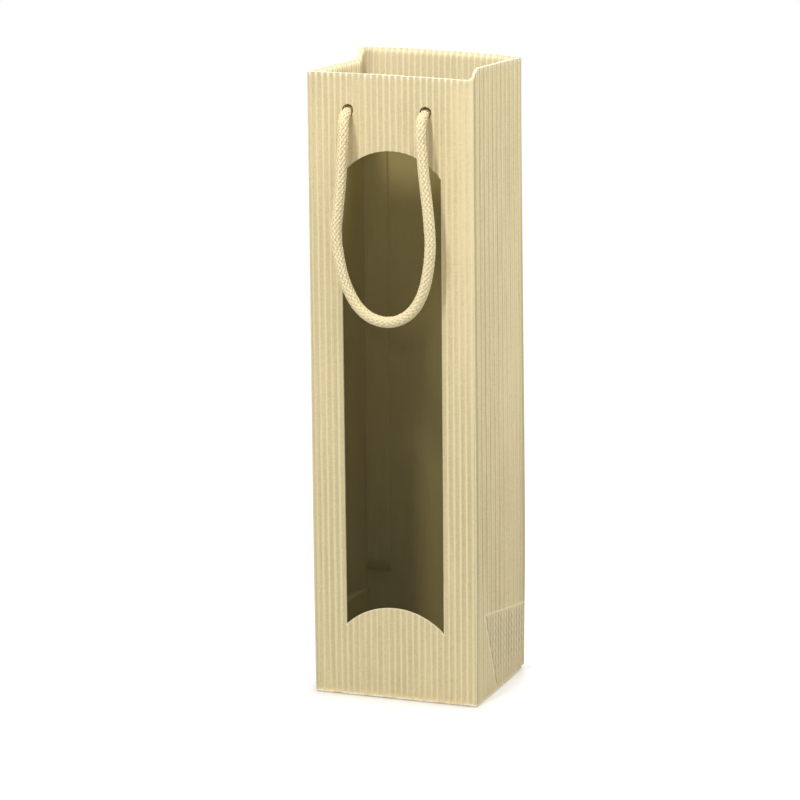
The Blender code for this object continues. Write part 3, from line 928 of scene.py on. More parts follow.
def add_fray(parts, points, diameter):
    """Loose threads at a cord's cut end."""
    ahead, side, other = carried_frames(points)[-1]
    for k in range(FRAY_THREADS):
        share = (k + 0.5) / FRAY_THREADS
        angle = k * math.pi * (3 - math.sqrt(5))
        out = side * math.cos(angle) + other * math.sin(angle)
        start = points[-1] - ahead * FRAY_ROOT
        start += out * diameter * FRAY_ROOT_SHARE * math.sqrt(share)
        longer = FRAY_UNEVENNESS * noise.noise(Vector((k * FRAY_LENGTH_SCALE, 0.0, 0.0)))
        length = FRAY_LENGTH * (1 + longer)
        drift_place = Vector((k * FRAY_DRIFT_SCALE, FRAY_DRIFT_START, 0.0))
        drift = noise.noise_vector(drift_place) * FRAY_DRIFT
        rings = []
        far = []
        for i in range(FRAY_STEPS + 1):
            t = i / FRAY_STEPS
            centre = start + ahead * length * t + (out * FRAY_SPREAD * share + drift) * t * t
            radius = FRAY_DIAMETER / 2 * (1 - t / 2)
            rings.append(oval(centre, side * radius, other * radius, FRAY_SIDES))
            far.append(length * t)
        parts.add_tube(rings, far, 0)


class BAG_OT_knots(bpy.types.Operator):
    """Makes the knots that hold the handle's ends behind the hem, with their short tails"""

    bl_idname = "bag.knots"
    bl_label = "Cord knots"

    def execute(self, context):
        cotton = [material_named("braided_cotton"), material_named("cord_core")]
        for side, sign in (("left", -1), ("right", 1)):
            points = knot_points(PIVOT.x + sign * HOLE_SPACING / 2)
            parts = MeshParts()
            add_braid(parts, points, KNOT_DIAMETER, context.scene.bag_sizes.braid_lay)
            add_fray(parts, points, KNOT_DIAMETER)
            knot = parts.object(side + "_knot", cotton)
            smooth(knot.data, CORD_SHARP_ANGLE)
            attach(knot, "bag")
            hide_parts(side + "_cord_end")
        return {"FINISHED"}


# The board's mesh, and the zone beside a crease in which its inner columns draw together
COLUMNS_PER_FLUTE = 8
INNER_CREASE_RADIUS = 0.0003
SQUEEZE_ZONE = 0.0060

# The hem, and the fold that is pressed thinner than it
HEM_THICKNESS = 0.0031
HEM_GAP = 0.0003
FOLD_ROWS = 8
FOLD_ROUNDING = 0.0006
FOLD_THICKNESS = 0.0017
FOLD_OPENING = 0.0030
FOLD_FLATTENING = 0.75

# Rows of the mesh under the foot, as depth and height, and then as heights: near the foot,
# and as first height, spacing and count further up
CRUSHED_ROWS = ((0.0013, 0.0006), (0.0010, 0.0003), (0.0005, 0.0003))
FOOT_HEIGHTS = (0.0006, 0.0011, 0.0017, 0.0024, 0.0033, 0.0045, 0.0060)
LOW_HEIGHTS = (0.0080, 0.0025, 18)
HIGH_HEIGHTS = (0.0560, 0.0124, 24)

# Rows below the rim outside and inside, at the hem's cut foot, and down the ply
OUTER_DROPS = (0.0110, 0.0070, 0.0046, 0.0030, 0.0020, 0.0013)
INNER_DROPS = (0.0013, 0.0020, 0.0030, 0.0046, 0.0070, 0.0120, 0.0200, 0.0280)
HEM_FOOT_HEIGHTS = (0.0012, 0.0002)
HEM_FOOT_ROUNDING = 0.0002
HEM_FOOT_RELIEF = 0.9
PLY_ROWS = 16
PLY_BELOW_HEM = 0.0030
PLY_FOOT = 0.0020

# The belly: where it is fullest, where it ends, its share at the foot and at the front, and
# how fast it fills out from the front
BELLY_HEIGHT = 0.0750
BELLY_TOP = 0.3500
FOOT_BELLY = 0.55
FRONT_BELLY = 0.55
BELLY_DEPTH = 1.4

# How much of its flutes the board keeps at the foot, at the rim, where the rim steps up, in
# the print and at its edges, and how much of them the flat corner loses
FOOT_RELIEF = 0.15
FOOT_PRESS = (0.0004, 0.0030)
RIM_RELIEF = 0.70
RIM_PRESS = (0.0006, 0.0036)
STEP_RELIEF = 0.3
STEP_CALM_LENGTH = 0.0120
STEP_CALM_DROP = 0.0030
PRINT_RELIEF = 0.35
PRINT_EDGE_RELIEF = 0.10
PRINT_TOP_EDGE = (0.0020, -0.0020)
PRINT_FRONT_EDGE = (-0.0010, 0.0010)
FLAT_CORNER_PRESS = 0.7

# Every second flute of a side wall is pressed flatter
SIDE_PAIRING = 0.45

# Width of the flat strip beside a crease, which is wider at the right front, and how much
# narrower than the front's and back's a side wall's rubbed strip is
CREASE_FLAT = 0.0008
WORN_CREASE_FLAT = 0.0018
SIDE_CREASE_SHIFT = 0.0005

# How light the board is painted: the hem with painted light, the worn rims of the front, right,
# back and left with painted highlight, painted highlight on the crests below them, worn creases
# with painted highlight, and the worn foot, with the distances between which each fades
HEM_PAINTED_LIGHT = 0.45
RIM_WEAR_AND_HIGHLIGHT = (0.95, 0.95, 0.75, 0.50)
RIM_FADE = (0.0010, 0.0002)
BELOW_RIM_HIGHLIGHT = 0.22
BELOW_RIM_FADE = (0.0042, 0.0008)
CREASE_WEAR_AND_HIGHLIGHT = 0.85
CREASE_FADE = (0.0008, 0.0002)
FOOT_WEAR = 0.75
FOOT_FADE = (0.0018, 0.0006)

# How the painted highlight on the bent crests shows below the rim, and how much of that is left
# inside the mouth
FOLD_FADE = (0.0036, 0.0004)
FOLD_INSIDE = 0.3

# How the real rim is off level: its corners, front left, front right, back right, back left,
# and the middle of each wall. A noise is its scale along a wall, its step from one wall to the
# next and its start
RIM_LEAN = (0.0014, -0.0008, -0.0032, 0.0000)
RIM_BOW = (0.0005, 0.0, 0.0009, 0.0)
RIM_RAGGEDNESS = 0.0002
RIM_NOISE = (160, 7.3, 0.0)
STEP_BEFORE_CORNER = 0.0045
STEP_AFTER_CORNER = 0.0095

# How the foot is off level: its raggedness, its notches under the valleys, its lifted corner
FOOT_RAGGEDNESS = 0.0005
FOOT_NOISE = (130, 5.1, 2.0)
FOOT_NOISE_RAISE = 0.2
FOOT_NOTCH = 0.0003
FOOT_LIFT = 0.0016
FOOT_LIFT_LENGTH = 0.0200
FOOT_LIFT_HEIGHT = 0.0070


def wall_noise(turn, along, scale, apart, start):
    """A slow random value along a wall, between about -1 and 1."""
    return noise.noise(Vector((along * scale, turn * apart, start)))


def rim_height(turn, along):
    """The rim over a point of a wall. It steps up at the right front and left back corners."""
    half_length = HALF_LENGTHS[turn]
    past = along + half_length if turn % 2 else along - half_length
    if turn < 2:
        rise = ramp(past, -STEP_BEFORE_CORNER, STEP_AFTER_CORNER)
    else:
        rise = 1 - eased(past / RIM_STEP_WIDTH)
    share = (along + half_length) / (2 * half_length)
    lean = RIM_LEAN[turn] * (1 - share) + RIM_LEAN[(turn + 1) % 4] * share
    lean += RIM_BOW[turn] * 4 * share * (1 - share)
    ragged = RIM_RAGGEDNESS * wall_noise(turn, along, *RIM_NOISE)
    return LOW_RIM + rise * (HIGH_RIM - LOW_RIM) + lean + ragged


def belly(height):
    """How much of its fullest stand-out a wall has at a height."""
    rise = ramp(height, BELLY_TOP, BELLY_HEIGHT)
    return rise * (1 - (1 - FOOT_BELLY) * ramp(height, BELLY_HEIGHT, 0.0))


def bellied(point, sizes):
    """A point of the straight bag, moved out with the walls low down."""
    share = belly(point.z)
    behind = (point.y + HALF_DEPTH) / (2 * HALF_DEPTH)
    side = FRONT_BELLY + (1 - FRONT_BELLY) * eased(behind * BELLY_DEPTH)
    x = point.x / HALF_WIDTH * sizes.belly_side * share * side
    y = max(0.0, point.y / HALF_DEPTH) * sizes.belly_back * share
    return point + Vector((x, y, 0.0))


def wall_place(turn, along, inset):
    """The point at a depth below the crests of a wall, and the way out of the wall there."""
    half_length = HALF_LENGTHS[turn]
    half_depth = HALF_LENGTHS[turn - 1]
    end = half_length - abs(along)
    end = end * (1 - inset / SQUEEZE_ZONE) if end < SQUEEZE_ZONE else end - inset
    radius = max(bpy.context.scene.bag_sizes.crease_radius - inset, INNER_CREASE_RADIUS)
    angle = max(0.0, 1 - end / radius) * math.pi / 4
    if angle:
        across = half_length - inset - radius + radius * math.sin(angle)
        out = half_depth - inset - radius + radius * math.cos(angle)
    else:
        across = half_length - inset - end
        out = half_depth - inset
    sign = math.copysign(1.0, along)
    place = Vector((sign * across, -out, 0.0))
    way = Vector((sign * math.sin(angle), -math.cos(angle), 0.0))
    turned = Matrix.Rotation(turn * math.pi / 2, 3, "Z")
    return turned @ place, turned @ way


@dataclass
class Row:
    """One row of the shell: its depth, its height from the table or the rim, and its finish."""

    inset: float
    height: float
    below_rim: bool = False
    sink: tuple = (1.0, 0.0)
    relief: float = 0.0
    ply: bool = False


def spaced(first, spacing, count):
    """Values at equal steps."""
    return [first + i * spacing for i in range(count)]


def outer_rows():
    """From under the foot up to the fold: crushed flutes at the crease, then full ones."""
    rows = [Row(inset, height) for inset, height in CRUSHED_ROWS]
    for height in [*FOOT_HEIGHTS, *spaced(*LOW_HEIGHTS), *spaced(*HIGH_HEIGHTS)]:
        relief = FOOT_RELIEF + (1 - FOOT_RELIEF) * ramp(height, *FOOT_PRESS)
        rows.append(Row(0.0, height, relief=relief))
    for drop in OUTER_DROPS:
        rows.append(Row(0.0, drop, below_rim=True, relief=rim_relief(drop)))
    return rows


def rim_relief(drop):
    """How much of its flutes the board keeps near the fold, where it is pressed."""
    return RIM_RELIEF + (1 - RIM_RELIEF) * ramp(drop, *RIM_PRESS)


def fold_rows():
    """Over the rim, half a turn round the fold."""
    rows = []
    middle = FOLD_THICKNESS / 2
    for i in range(FOLD_ROWS + 1):
        angle = math.pi * i / FOLD_ROWS
        inset = middle - middle * math.cos(angle)
        drop = FOLD_ROUNDING * (1 - math.sin(angle))
        sink = (math.cos(angle), -math.sin(angle))
        relief = rim_relief(drop) * (1 - FOLD_FLATTENING * math.sin(angle))
        rows.append(Row(inset, drop, below_rim=True, sink=sink, relief=relief))
    return rows


def inner_rows():
    """Down the hem, round its cut foot and down the smooth ply to the bottom."""
    rows = []
    inwards = (-1.0, 0.0)
    for drop in INNER_DROPS:
        inset = FOLD_THICKNESS + (HEM_THICKNESS - FOLD_THICKNESS) * eased(drop / FOLD_OPENING)
        rows.append(Row(inset, drop, below_rim=True, sink=inwards, relief=rim_relief(drop)))
    for height in HEM_FOOT_HEIGHTS:
        rows.append(Row(HEM_THICKNESS, HEM_FOOT + height, sink=inwards, relief=1.0))
    inset = HEM_THICKNESS - HEM_FOOT_ROUNDING
    rows.append(Row(inset, HEM_FOOT, sink=inwards, relief=HEM_FOOT_RELIEF))
    rows.append(Row(BOARD_THICKNESS + HEM_GAP, HEM_FOOT))
    rows.append(Row(BOARD_THICKNESS, HEM_FOOT - HEM_GAP, ply=True))
    top = HEM_FOOT - PLY_BELOW_HEM
    for height in spaced(top, (PLY_FOOT - top) / PLY_ROWS, PLY_ROWS + 1):
        rows.append(Row(BOARD_THICKNESS, height, ply=True))
    return rows


def print_relief(turn, y, height):
    """How much of its flutes a side wall keeps where a tab is glued inside it."""
    if turn % 2 == 0:
        return 1.0
    top = PRINT_FRONT_HEIGHT - max(0.0, y - PRINT_FRONT_TOP) * PRINT_SLOPE
    low = ramp(height - top, *PRINT_TOP_EDGE)
    within = ramp(behind_print(y, height), *PRINT_FRONT_EDGE)
    kept = PRINT_EDGE_RELIEF + (PRINT_RELIEF - PRINT_EDGE_RELIEF) * within
    corner = ramp(y, *FLAT_CORNER_DEPTH) * ramp(height, *FLAT_CORNER_HEIGHT)
    return (1 - low * (1 - kept)) * (1 - FLAT_CORNER_PRESS * corner)


def shell_columns(sizes):
    """The upright lines of the shell: wall, place along it, and the same counted in flutes."""
    columns = []
    for turn in range(4):
        flutes = (sizes.front_flutes, sizes.side_flutes)[turn % 2]
        pitch = 2 * HALF_LENGTHS[turn] / flutes
        for i in range(flutes * COLUMNS_PER_FLUTE):
            along = -HALF_LENGTHS[turn] + (i + 0.5) * pitch / COLUMNS_PER_FLUTE
            columns.append((turn, along, along / pitch))
    return columns


def shell_mesh(sizes):
    """The board before its flutes sink: a closed grid with what the flute tree needs."""
    rows = outer_rows() + fold_rows() + inner_rows()
    columns = shell_columns(sizes)
    verts = []
    sinks = []
    carried = {"relief": [], "phase": [], "wear_and_light": [], "fold": []}
    for turn, along, phase in columns:
        half_length = HALF_LENGTHS[turn]
        rim = rim_height(turn, along)
        end = half_length - abs(along)
        flat = WORN_CREASE_FLAT if turn == 0 and along > 0 else CREASE_FLAT
        crease = eased((end - flat / 3) / flat)
        paired = turn % 2 * SIDE_PAIRING * (1 - math.cos(math.pi * (phase + 0.5))) / 2
        from_step = along + half_length if turn % 2 else half_length - along
        calm = STEP_RELIEF + (1 - STEP_RELIEF) * eased(from_step / STEP_CALM_LENGTH)
        for row in rows:
            place, way = wall_place(turn, along, row.inset)
            place.z = rim - row.height if row.below_rim else row.height
            place.z += foot_lift(turn, along, phase, place.z)
            verts.append(bellied(place, sizes))
            sinks.append(Vector((-way.x * row.sink[0], -way.y * row.sink[0], row.sink[1])))
            outside = row.inset < BOARD_THICKNESS / 2
            kept = print_relief(turn, place.y, place.z) if outside else 1.0
            pressed = calm if row.below_rim and row.height < STEP_CALM_DROP else 1.0
            carried["relief"].append(row.relief * crease * kept * pressed * (1 - paired))
            carried["phase"].append(phase)
            drop = rim - place.z
            # Wear with painted highlight and painted light, carried for the material
            crease_end = end + turn % 2 * SIDE_CREASE_SHIFT
            carried["wear_and_light"].append(edge_wear_and_light(row, RIM_WEAR_AND_HIGHLIGHT[turn], drop, place.z, crease_end))
            # How strongly the bent crests below the rim take their painted highlight
            showing = calm if outside else calm * FOLD_INSIDE
            carried["fold"].append(showing * ramp(drop, *FOLD_FADE))
    mesh = bpy.data.meshes.new("board_shell")
    faces, ply = shell_faces(len(columns), rows)
    mesh.from_pydata(verts, [], faces)
    mesh.attributes.new("sink", "FLOAT_VECTOR", "POINT").data.foreach_set(
        "vector", [part for sink in sinks for part in sink]
    )
    for name, values in carried.items():
        mesh.attributes.new(name, "FLOAT", "POINT").data.foreach_set("value", values)
    mesh.attributes.new("ply", "BOOLEAN", "FACE").data.foreach_set("value", ply)
    return mesh


def shell_faces(columns, rows):
    """The faces of the closed grid, and which of them are smooth ply."""
    faces = []
    ply = []
    count = len(rows)
    for c in range(columns):
        here, there = c * count, (c + 1) % columns * count
        for r in range(count):
            s = (r + 1) % count
            faces.append((here + r, there + r, there + s, here + s))
            ply.append(rows[r].ply or r == count - 1)
    return faces, ply


def foot_lift(turn, along, phase, height):
    """How far the worn foot stands off the table: raggedly, in notches and at a lifted corner."""
    if height >= FOOT_LIFT_HEIGHT:
        return 0.0
    ragged = wall_noise(turn, along, *FOOT_NOISE) + FOOT_NOISE_RAISE
    lift = FOOT_RAGGEDNESS * max(0.0, ragged)
    if turn % 2:
        lift += FOOT_NOTCH * (1 - math.cos(math.tau * phase)) / 2
    if turn in (1, 2):
        from_corner = HALF_LENGTHS[turn] + (-along if turn == 1 else along)
        lift += FOOT_LIFT * (1 - eased(from_corner / FOOT_LIFT_LENGTH))
    return lift * (1 - eased(height / FOOT_LIFT_HEIGHT))


def edge_wear_and_light(row, rubbed_and_lit, drop, height, end):
    """How light the board is painted: painted light on the hem, wear with painted highlight on the
    rim's fold, below it and at the creases, and wear at the foot.
    """
    if row.inset > BOARD_THICKNESS and not row.below_rim:
        return HEM_PAINTED_LIGHT
    rim = max(rubbed_and_lit * ramp(drop, *RIM_FADE), BELOW_RIM_HIGHLIGHT * ramp(drop, *BELOW_RIM_FADE))
    if row.below_rim and row.sink[0] < 0:
        rim = max(rim, HEM_PAINTED_LIGHT)
    crease = CREASE_WEAR_AND_HIGHLIGHT * ramp(end, *CREASE_FADE)
    return max(rim, crease, FOOT_WEAR * ramp(height, *FOOT_FADE))


# How the flutes differ: noise scale of their wander and depth, drawn out upwards, and the
# second noise's place apart from the first
FLUTE_STRETCH = (1.0, 1.0, 0.10)
WANDER_SCALE = 60.0
DEPTH_SCALE = 160.0
DEPTH_SEED_STEP = 7.0
VALLEY_ROUNDNESS = 0.60
FLUTE_WANDER = 0.10
FLUTE_SEED = 5


def mesh_attribute(graph, name, kind="FLOAT"):
    """Reads a value that the mesh carries at each point or face."""
    return graph.node("GeometryNodeInputNamedAttribute", {"data_type": kind}, {"Name": name})


def flute_tree():
    """Sinks the valleys of the flutes into a board that carries phase, relief and sink."""
    tree = bpy.data.node_groups.new("flutes", "GeometryNodeTree")
    sockets = [("Board", "Geometry"), ("Depth", "Float"), ("Unevenness", "Float")]
    sockets += [("Wander", "Float"), ("Seed", "Int"), ("Outside", "Material")]
    sockets += [("Inside", "Material")]
    for name, kind in sockets:
        tree.interface.new_socket(name, in_out="INPUT", socket_type="NodeSocket" + kind)
    tree.interface.new_socket("Fluted board", in_out="OUTPUT", socket_type="NodeSocketGeometry")
    graph = Graph(tree)
    group = graph.node("NodeGroupInput")
    names = [name for name, kind in sockets]
    board, depth, uneven, wander, seed, outside, inside = graph.outputs(group, *names)
    place = graph.scaled(graph.node("GeometryNodeInputPosition"), FLUTE_STRETCH)
    four = {"noise_dimensions": "4D"}
    inputs = {"Vector": place, "W": seed, "Scale": WANDER_SCALE}
    drift = graph.node("ShaderNodeTexNoise", four, inputs)
    inputs = {"Vector": place, "W": seed + DEPTH_SEED_STEP, "Scale": DEPTH_SCALE}
    own = graph.node("ShaderNodeTexNoise", four, inputs)
    angle = (mesh_attribute(graph, "phase") + (drift - 0.5) * wander) * math.tau
    valley = ((1.0 - angle.cos()) / 2.0) ** VALLEY_ROUNDNESS
    amount = depth * valley * mesh_attribute(graph, "relief")
    amount = amount * (1.0 + (own - 0.5) * uneven * 2.0)
    inputs = {0: mesh_attribute(graph, "sink", "FLOAT_VECTOR"), "Scale": amount}
    move = graph.node("ShaderNodeVectorMath", {"operation": "SCALE"}, inputs)
    moved = graph.node("GeometryNodeSetPosition", inputs={"Geometry": board, "Offset": move})
    real = graph.node("GeometryNodeRealizeInstances", inputs={"Geometry": moved})
    dressed = graph.node("GeometryNodeSetMaterial", inputs={"Geometry": real, "Material": outside})
    picked = mesh_attribute(graph, "ply", "BOOLEAN")
    inputs = {"Geometry": dressed, "Selection": picked, "Material": inside}
    done = graph.node("GeometryNodeSetMaterial", inputs=inputs)
    graph.node("NodeGroupOutput", inputs={"Fluted board": done})
    return tree


def add_flutes(obj, sizes, inside):
    """Runs the flute tree on a board and makes the result plain."""
    modifier = obj.modifiers.new("flutes", "NODES")
    modifier.node_group = bpy.data.node_groups.get("flutes") or flute_tree()
    values = {
        "Depth": sizes.flute_depth,
        "Unevenness": sizes.unevenness,
        "Wander": FLUTE_WANDER,
        "Seed": FLUTE_SEED,
        "Outside": material_named("fluted_board"),
        "Inside": inside,
    }
    for item in modifier.node_group.interface.items_tree:
        if item.in_out == "INPUT" and item.name in values:
            modifier[item.identifier] = values[item.name]
    made_plain(obj)


# The cutters of the window and the cord holes
ARC_POINTS = 41
WINDOW_CUT_DEPTH = 0.0040
PUNCH_SIDES = 36
PUNCH_LENGTH = 0.0120
BOARD_SHARP_ANGLE = math.radians(38)


def arc_radius(half_chord, rise):
    """The radius of an arc that rises so far over its chord."""
    return (half_chord**2 + rise**2) / (2 * rise)


def arc(half_chord, foot, rise):
    """An arc as (x, z), from left to right, that starts and ends at foot and rises between."""
    radius = arc_radius(half_chord, rise)
    opening = math.asin(half_chord / radius)
    line = []
    for i in range(ARC_POINTS):
        angle = opening * (2 * i / (ARC_POINTS - 1) - 1)
        line.append((radius * math.sin(angle), foot + rise + radius * (math.cos(angle) - 1)))
    return line


def bordered(ring, back):
    """Faces that join a ring of points with the like ring that lies further on by back."""
    pairs = zip(ring, ring[1:] + ring[:1])
    return [(a, a + back, b + back, b) for a, b in pairs]


def window_cutter():
    """The window's opening: upright sides, a rounded head and a sill that rises between them."""
    outline = arc(WINDOW_HALF, WINDOW_SHOULDER, ARCH_RISE)
    for x, z in reversed(arc(WINDOW_HALF, WINDOW_FOOT, SILL_RISE)):
        outline.append((x, z - SILL_LEAN * (x + WINDOW_HALF) / (2 * WINDOW_HALF)))
    verts = []
    for y in (-HALF_DEPTH - WINDOW_CUT_DEPTH, -HALF_DEPTH + WINDOW_CUT_DEPTH):
        verts += [(x, y, z) for x, z in outline]
    count = len(outline)
    faces = [tuple(range(count)), tuple(range(2 * count - 1, count - 1, -1))]
    faces += bordered(list(range(count)), count)
    mesh = bpy.data.meshes.new("window_cutter")
    mesh.from_pydata(verts, [], faces)
    return new_object("window_cutter", mesh)


def hole_cutter(name, place):
    """A punch for one cord hole, through a wall and its hem."""
    bm = bmesh.new()
    radius = HOLE_DIAMETER / 2
    matrix = Matrix.Translation(place + HOLE_SHIFT) @ Matrix.Rotation(math.pi / 2, 4, "X")
    bmesh.ops.create_cone(
        bm,
        cap_ends=True,
        segments=PUNCH_SIDES,
        radius1=radius,
        radius2=radius,
        depth=PUNCH_LENGTH,
        matrix=matrix,
    )
    mesh = bpy.data.meshes.new(name)
    bm.to_mesh(mesh)
    bm.free()
    return new_object(name, mesh)


def cut(obj, cutter, material):
    """Cuts a piece with a cutter, whose material its new faces take, and removes the cutter."""
    turn_outwards(cutter.data)
    cutter.data.materials.append(material)
    modifier = obj.modifiers.new("cut", "BOOLEAN")
    modifier.operation = "DIFFERENCE"
    modifier.solver = "EXACT"
    modifier.material_mode = "TRANSFER"
    modifier.object = cutter
    made_plain(obj)
    bpy.data.objects.remove(cutter)


class BAG_OT_walls(bpy.types.Operator):
    """Makes the board: four fluted walls, the folded rim and the hem, with window and holes"""

    bl_idname = "bag.walls"
    bl_label = "Fluted walls"

    def execute(self, context):
        sizes = context.scene.bag_sizes
        shell = new_object("board_shell", shell_mesh(sizes))
        turn_outwards(shell.data)
        add_flutes(shell, sizes, material_named("smooth_ply"))
        cut(shell, window_cutter(), material_named("cut_edge"))
        # The holes' cut faces take a colour of painted shade
        shaded_hole = material_named("shaded_hole_edge")
        for sign in (-1, 1):
            for name, side in (("left", -1), ("right", 1)):
                x = -sign * (PIVOT.x + side * HOLE_SPACING / 2)
                place = Vector((x, sign * HALF_DEPTH, PIVOT.z))
                cut(shell, hole_cutter(name + "_hole", place), shaded_hole)
        smooth(shell.data, BOARD_SHARP_ANGLE)
        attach(shell, "bag")
        walls = ["front", "right", "back", "left"]
        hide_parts(*[w + "_panel" for w in walls], *[w + "_hem" for w in walls])
        return {"FINISHED"}


# The film's mesh and thickness, its waves per metre, across and up, and the cells beside its
# edge over which they die down
FILM_COLUMNS = 48
FILM_ROWS = 160
FILM_THICKNESS = 0.00012
FILM_WAVE_SCALES = (34, 13)
FILM_EDGE_CELLS = 6
FILM_SHARP_ANGLE = math.radians(60)


def film_points(ripple):
    """The film's front and back faces as two grids of points, row by row upwards."""
    points = []
    width, depth, height = Vector(FILM_HIGH) - Vector(FILM_LOW)
    across, up = FILM_WAVE_SCALES
    for behind in (0.0, FILM_THICKNESS):
        for j in range(FILM_ROWS + 1):
            for i in range(FILM_COLUMNS + 1):
                x = FILM_LOW[0] + width * i / FILM_COLUMNS
                z = FILM_LOW[2] + height * j / FILM_ROWS
                edge = min(i, FILM_COLUMNS - i, j, FILM_ROWS - j) / FILM_EDGE_CELLS
                wave = noise.noise(Vector((x * across, 0.0, z * up))) + 0.5
                points.append((x, FILM_LOW[1] + ripple * eased(edge) * wave + behind, z))
    return points


def film_faces():
    """The faces of those two grids, and of the border that joins them."""
    row = FILM_COLUMNS + 1
    back = row * (FILM_ROWS + 1)
    faces = []
    for j in range(FILM_ROWS):
        for a in range(j * row, j * row + FILM_COLUMNS):
            face = (a, a + 1, a + row + 1, a + row)
            faces += [face, tuple(back + corner for corner in reversed(face))]
    border = list(range(row))
    border += [j * row + FILM_COLUMNS for j in range(1, FILM_ROWS + 1)]
    border += [FILM_ROWS * row + i for i in range(FILM_COLUMNS - 1, -1, -1)]
    border += [j * row for j in range(FILM_ROWS - 1, 0, -1)]
    return faces + bordered(border, back)


class BAG_OT_film(bpy.types.Operator):
    """Makes the window film, a little rippled, glued behind the front wall"""

    bl_idname = "bag.film"
    bl_label = "Window film"

    def execute(self, context):
        mesh = bpy.data.meshes.new("rippled_film")
        mesh.from_pydata(film_points(context.scene.bag_sizes.film_ripple), [], film_faces())
        mesh.materials.append(material_named("window_film_gloss"))
        turn_outwards(mesh)
        smooth(mesh, FILM_SHARP_ANGLE)
        film = new_object("rippled_film", mesh)
        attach(film, "bag")
        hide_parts("window_film")
        return {"FINISHED"}


# Glued flaps: how finely they bend with their wall, their pressed edge, how near to the wall's
# inner face a point has to be to meet it, and how their solids' triangles are joined up first
FLAP_SEGMENT = 0.0080
FLAP_EDGE_ROUNDING = 0.0004
FLAP_EDGE_SEGMENTS = 2
FLAP_EDGE_ANGLE = 0.5
FLAP_GAP = 0.0005
FLAP_SHARP_ANGLE = math.radians(30)
WELD_DISTANCE = 0.00001
FLAT_ANGLE = 0.01


def met_wall(point):
    """A point of a flap, brought up to the wall's inner face if it is within a hair of it."""
    for axis, half in ((0, HALF_WIDTH), (1, HALF_DEPTH)):
        inner = half - BOARD_THICKNESS
        if abs(abs(point[axis]) - inner) < FLAP_GAP:
            point[axis] = math.copysign(inner, point[axis])
    return point


def bent_flap(name, sizes):
    """A glued flap, pressed thinner than its solid and bent with the wall that carries it."""
    bm = bmesh.new()
    bm.from_mesh(frame["nodes"][name].data)
    bmesh.ops.remove_doubles(bm, verts=bm.verts, dist=WELD_DISTANCE)
    bmesh.ops.dissolve_limit(bm, angle_limit=FLAT_ANGLE, verts=bm.verts, edges=bm.edges)
    low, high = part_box(name)
    bmesh.ops.bevel(
        bm,
        geom=[e for e in bm.edges if e.calc_face_angle(0.0) > FLAP_EDGE_ANGLE],
        offset=FLAP_EDGE_ROUNDING,
        segments=FLAP_EDGE_SEGMENTS,
        affect="EDGES",
    )
    height = low[2] + FLAP_SEGMENT
    while height < high[2]:
        everything = [*bm.verts, *bm.edges, *bm.faces]
        level = Vector((0.0, 0.0, height))
        bmesh.ops.bisect_plane(bm, geom=everything, plane_co=level, plane_no=(0.0, 0.0, 1.0))
        height += FLAP_SEGMENT
    for vert in bm.verts:
        vert.co = bellied(met_wall(vert.co.copy()), sizes)
    mesh = bpy.data.meshes.new(name)
    bm.to_mesh(mesh)
    bm.free()
    mesh.materials.append(material_named("smooth_ply"))
    turn_outwards(mesh)
    smooth(mesh, FLAP_SHARP_ANGLE)
    return mesh


class BAG_OT_bottom(bpy.types.Operator):
    """Makes the flaps of the bottom, its tabs and the glue flap in the tube"""

    bl_idname = "bag.bottom"
    bl_label = "Bottom and flaps"

    def execute(self, context):
        flaps = ["left_tab", "right_tab", "seam_flap", "bottom_outer_flap", "bottom_inner_flap"]
        for name in flaps:
            flap = new_object("bent_" + name, bent_flap(name, context.scene.bag_sizes))
            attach(flap, "bag")
            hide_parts(name)
        return {"FINISHED"}


# Lamps: name, azimuth and elevation in degrees, distance, width and power
LAMPS = (
    ("key_lamp", -12.0, 46.0, 1.6, 0.22, 13.1),
    ("top_lamp", 32.0, 72.0, 1.1, 0.4, 3.4),
    ("side_fill", 118.0, 52.0, 1.0, 0.3, 4.6),
)

# The floor: its size, its gloss, and its two near equal greys
FLOOR_HALF = 3.0
FLOOR_ROUGHNESS = 0.30
FLOOR_GREYS = ((0.50, 0.50, 0.50, 1.0), (0.52, 0.52, 0.52, 1.0))

# What makes the floor white in the picture, and less of it against the foot of the bag
FLOOR_GLOW = 0.34
OPEN_FLOOR_GLOW = 0.17
FOOT_SHADOW = (0.000, 0.016)

# Light that the board throws on the floor beside it
WARM_FLOOR = (0.006, 0.000)
WARM_GREY = (0.51, 0.475, 0.42, 1.0)
WARM_GLOW = (1.0, 0.975, 0.945, 1.0)
WHITE = (1.0, 1.0, 1.0, 1.0)

# How bright the background lights the bag, against 1 as it is seen
WORLD_LIGHT = 0.56


def way_from(azimuth, elevation):
    """The direction from the bag at an azimuth and elevation, in radians.

    Azimuth 0 is in front of the bag, and a quarter turn is at its right.
    """
    level = math.cos(elevation)
    return Vector((math.sin(azimuth) * level, -math.cos(azimuth) * level, math.sin(elevation)))


def add_lamp(name, azimuth, elevation, distance, size, power):
    """A round area lamp that looks at the bag."""
    data = bpy.data.lights.new(name, "AREA")
    data.shape = "DISK"
    data.size = size
    data.energy = power
    lamp = new_object(name, data)
    way = way_from(math.radians(azimuth), math.radians(elevation))
    lamp.location = Vector((0.0, 0.0, CAMERA_AIM_HEIGHT)) + way * distance
    lamp.rotation_euler = way.to_track_quat("Z", "Y").to_euler()


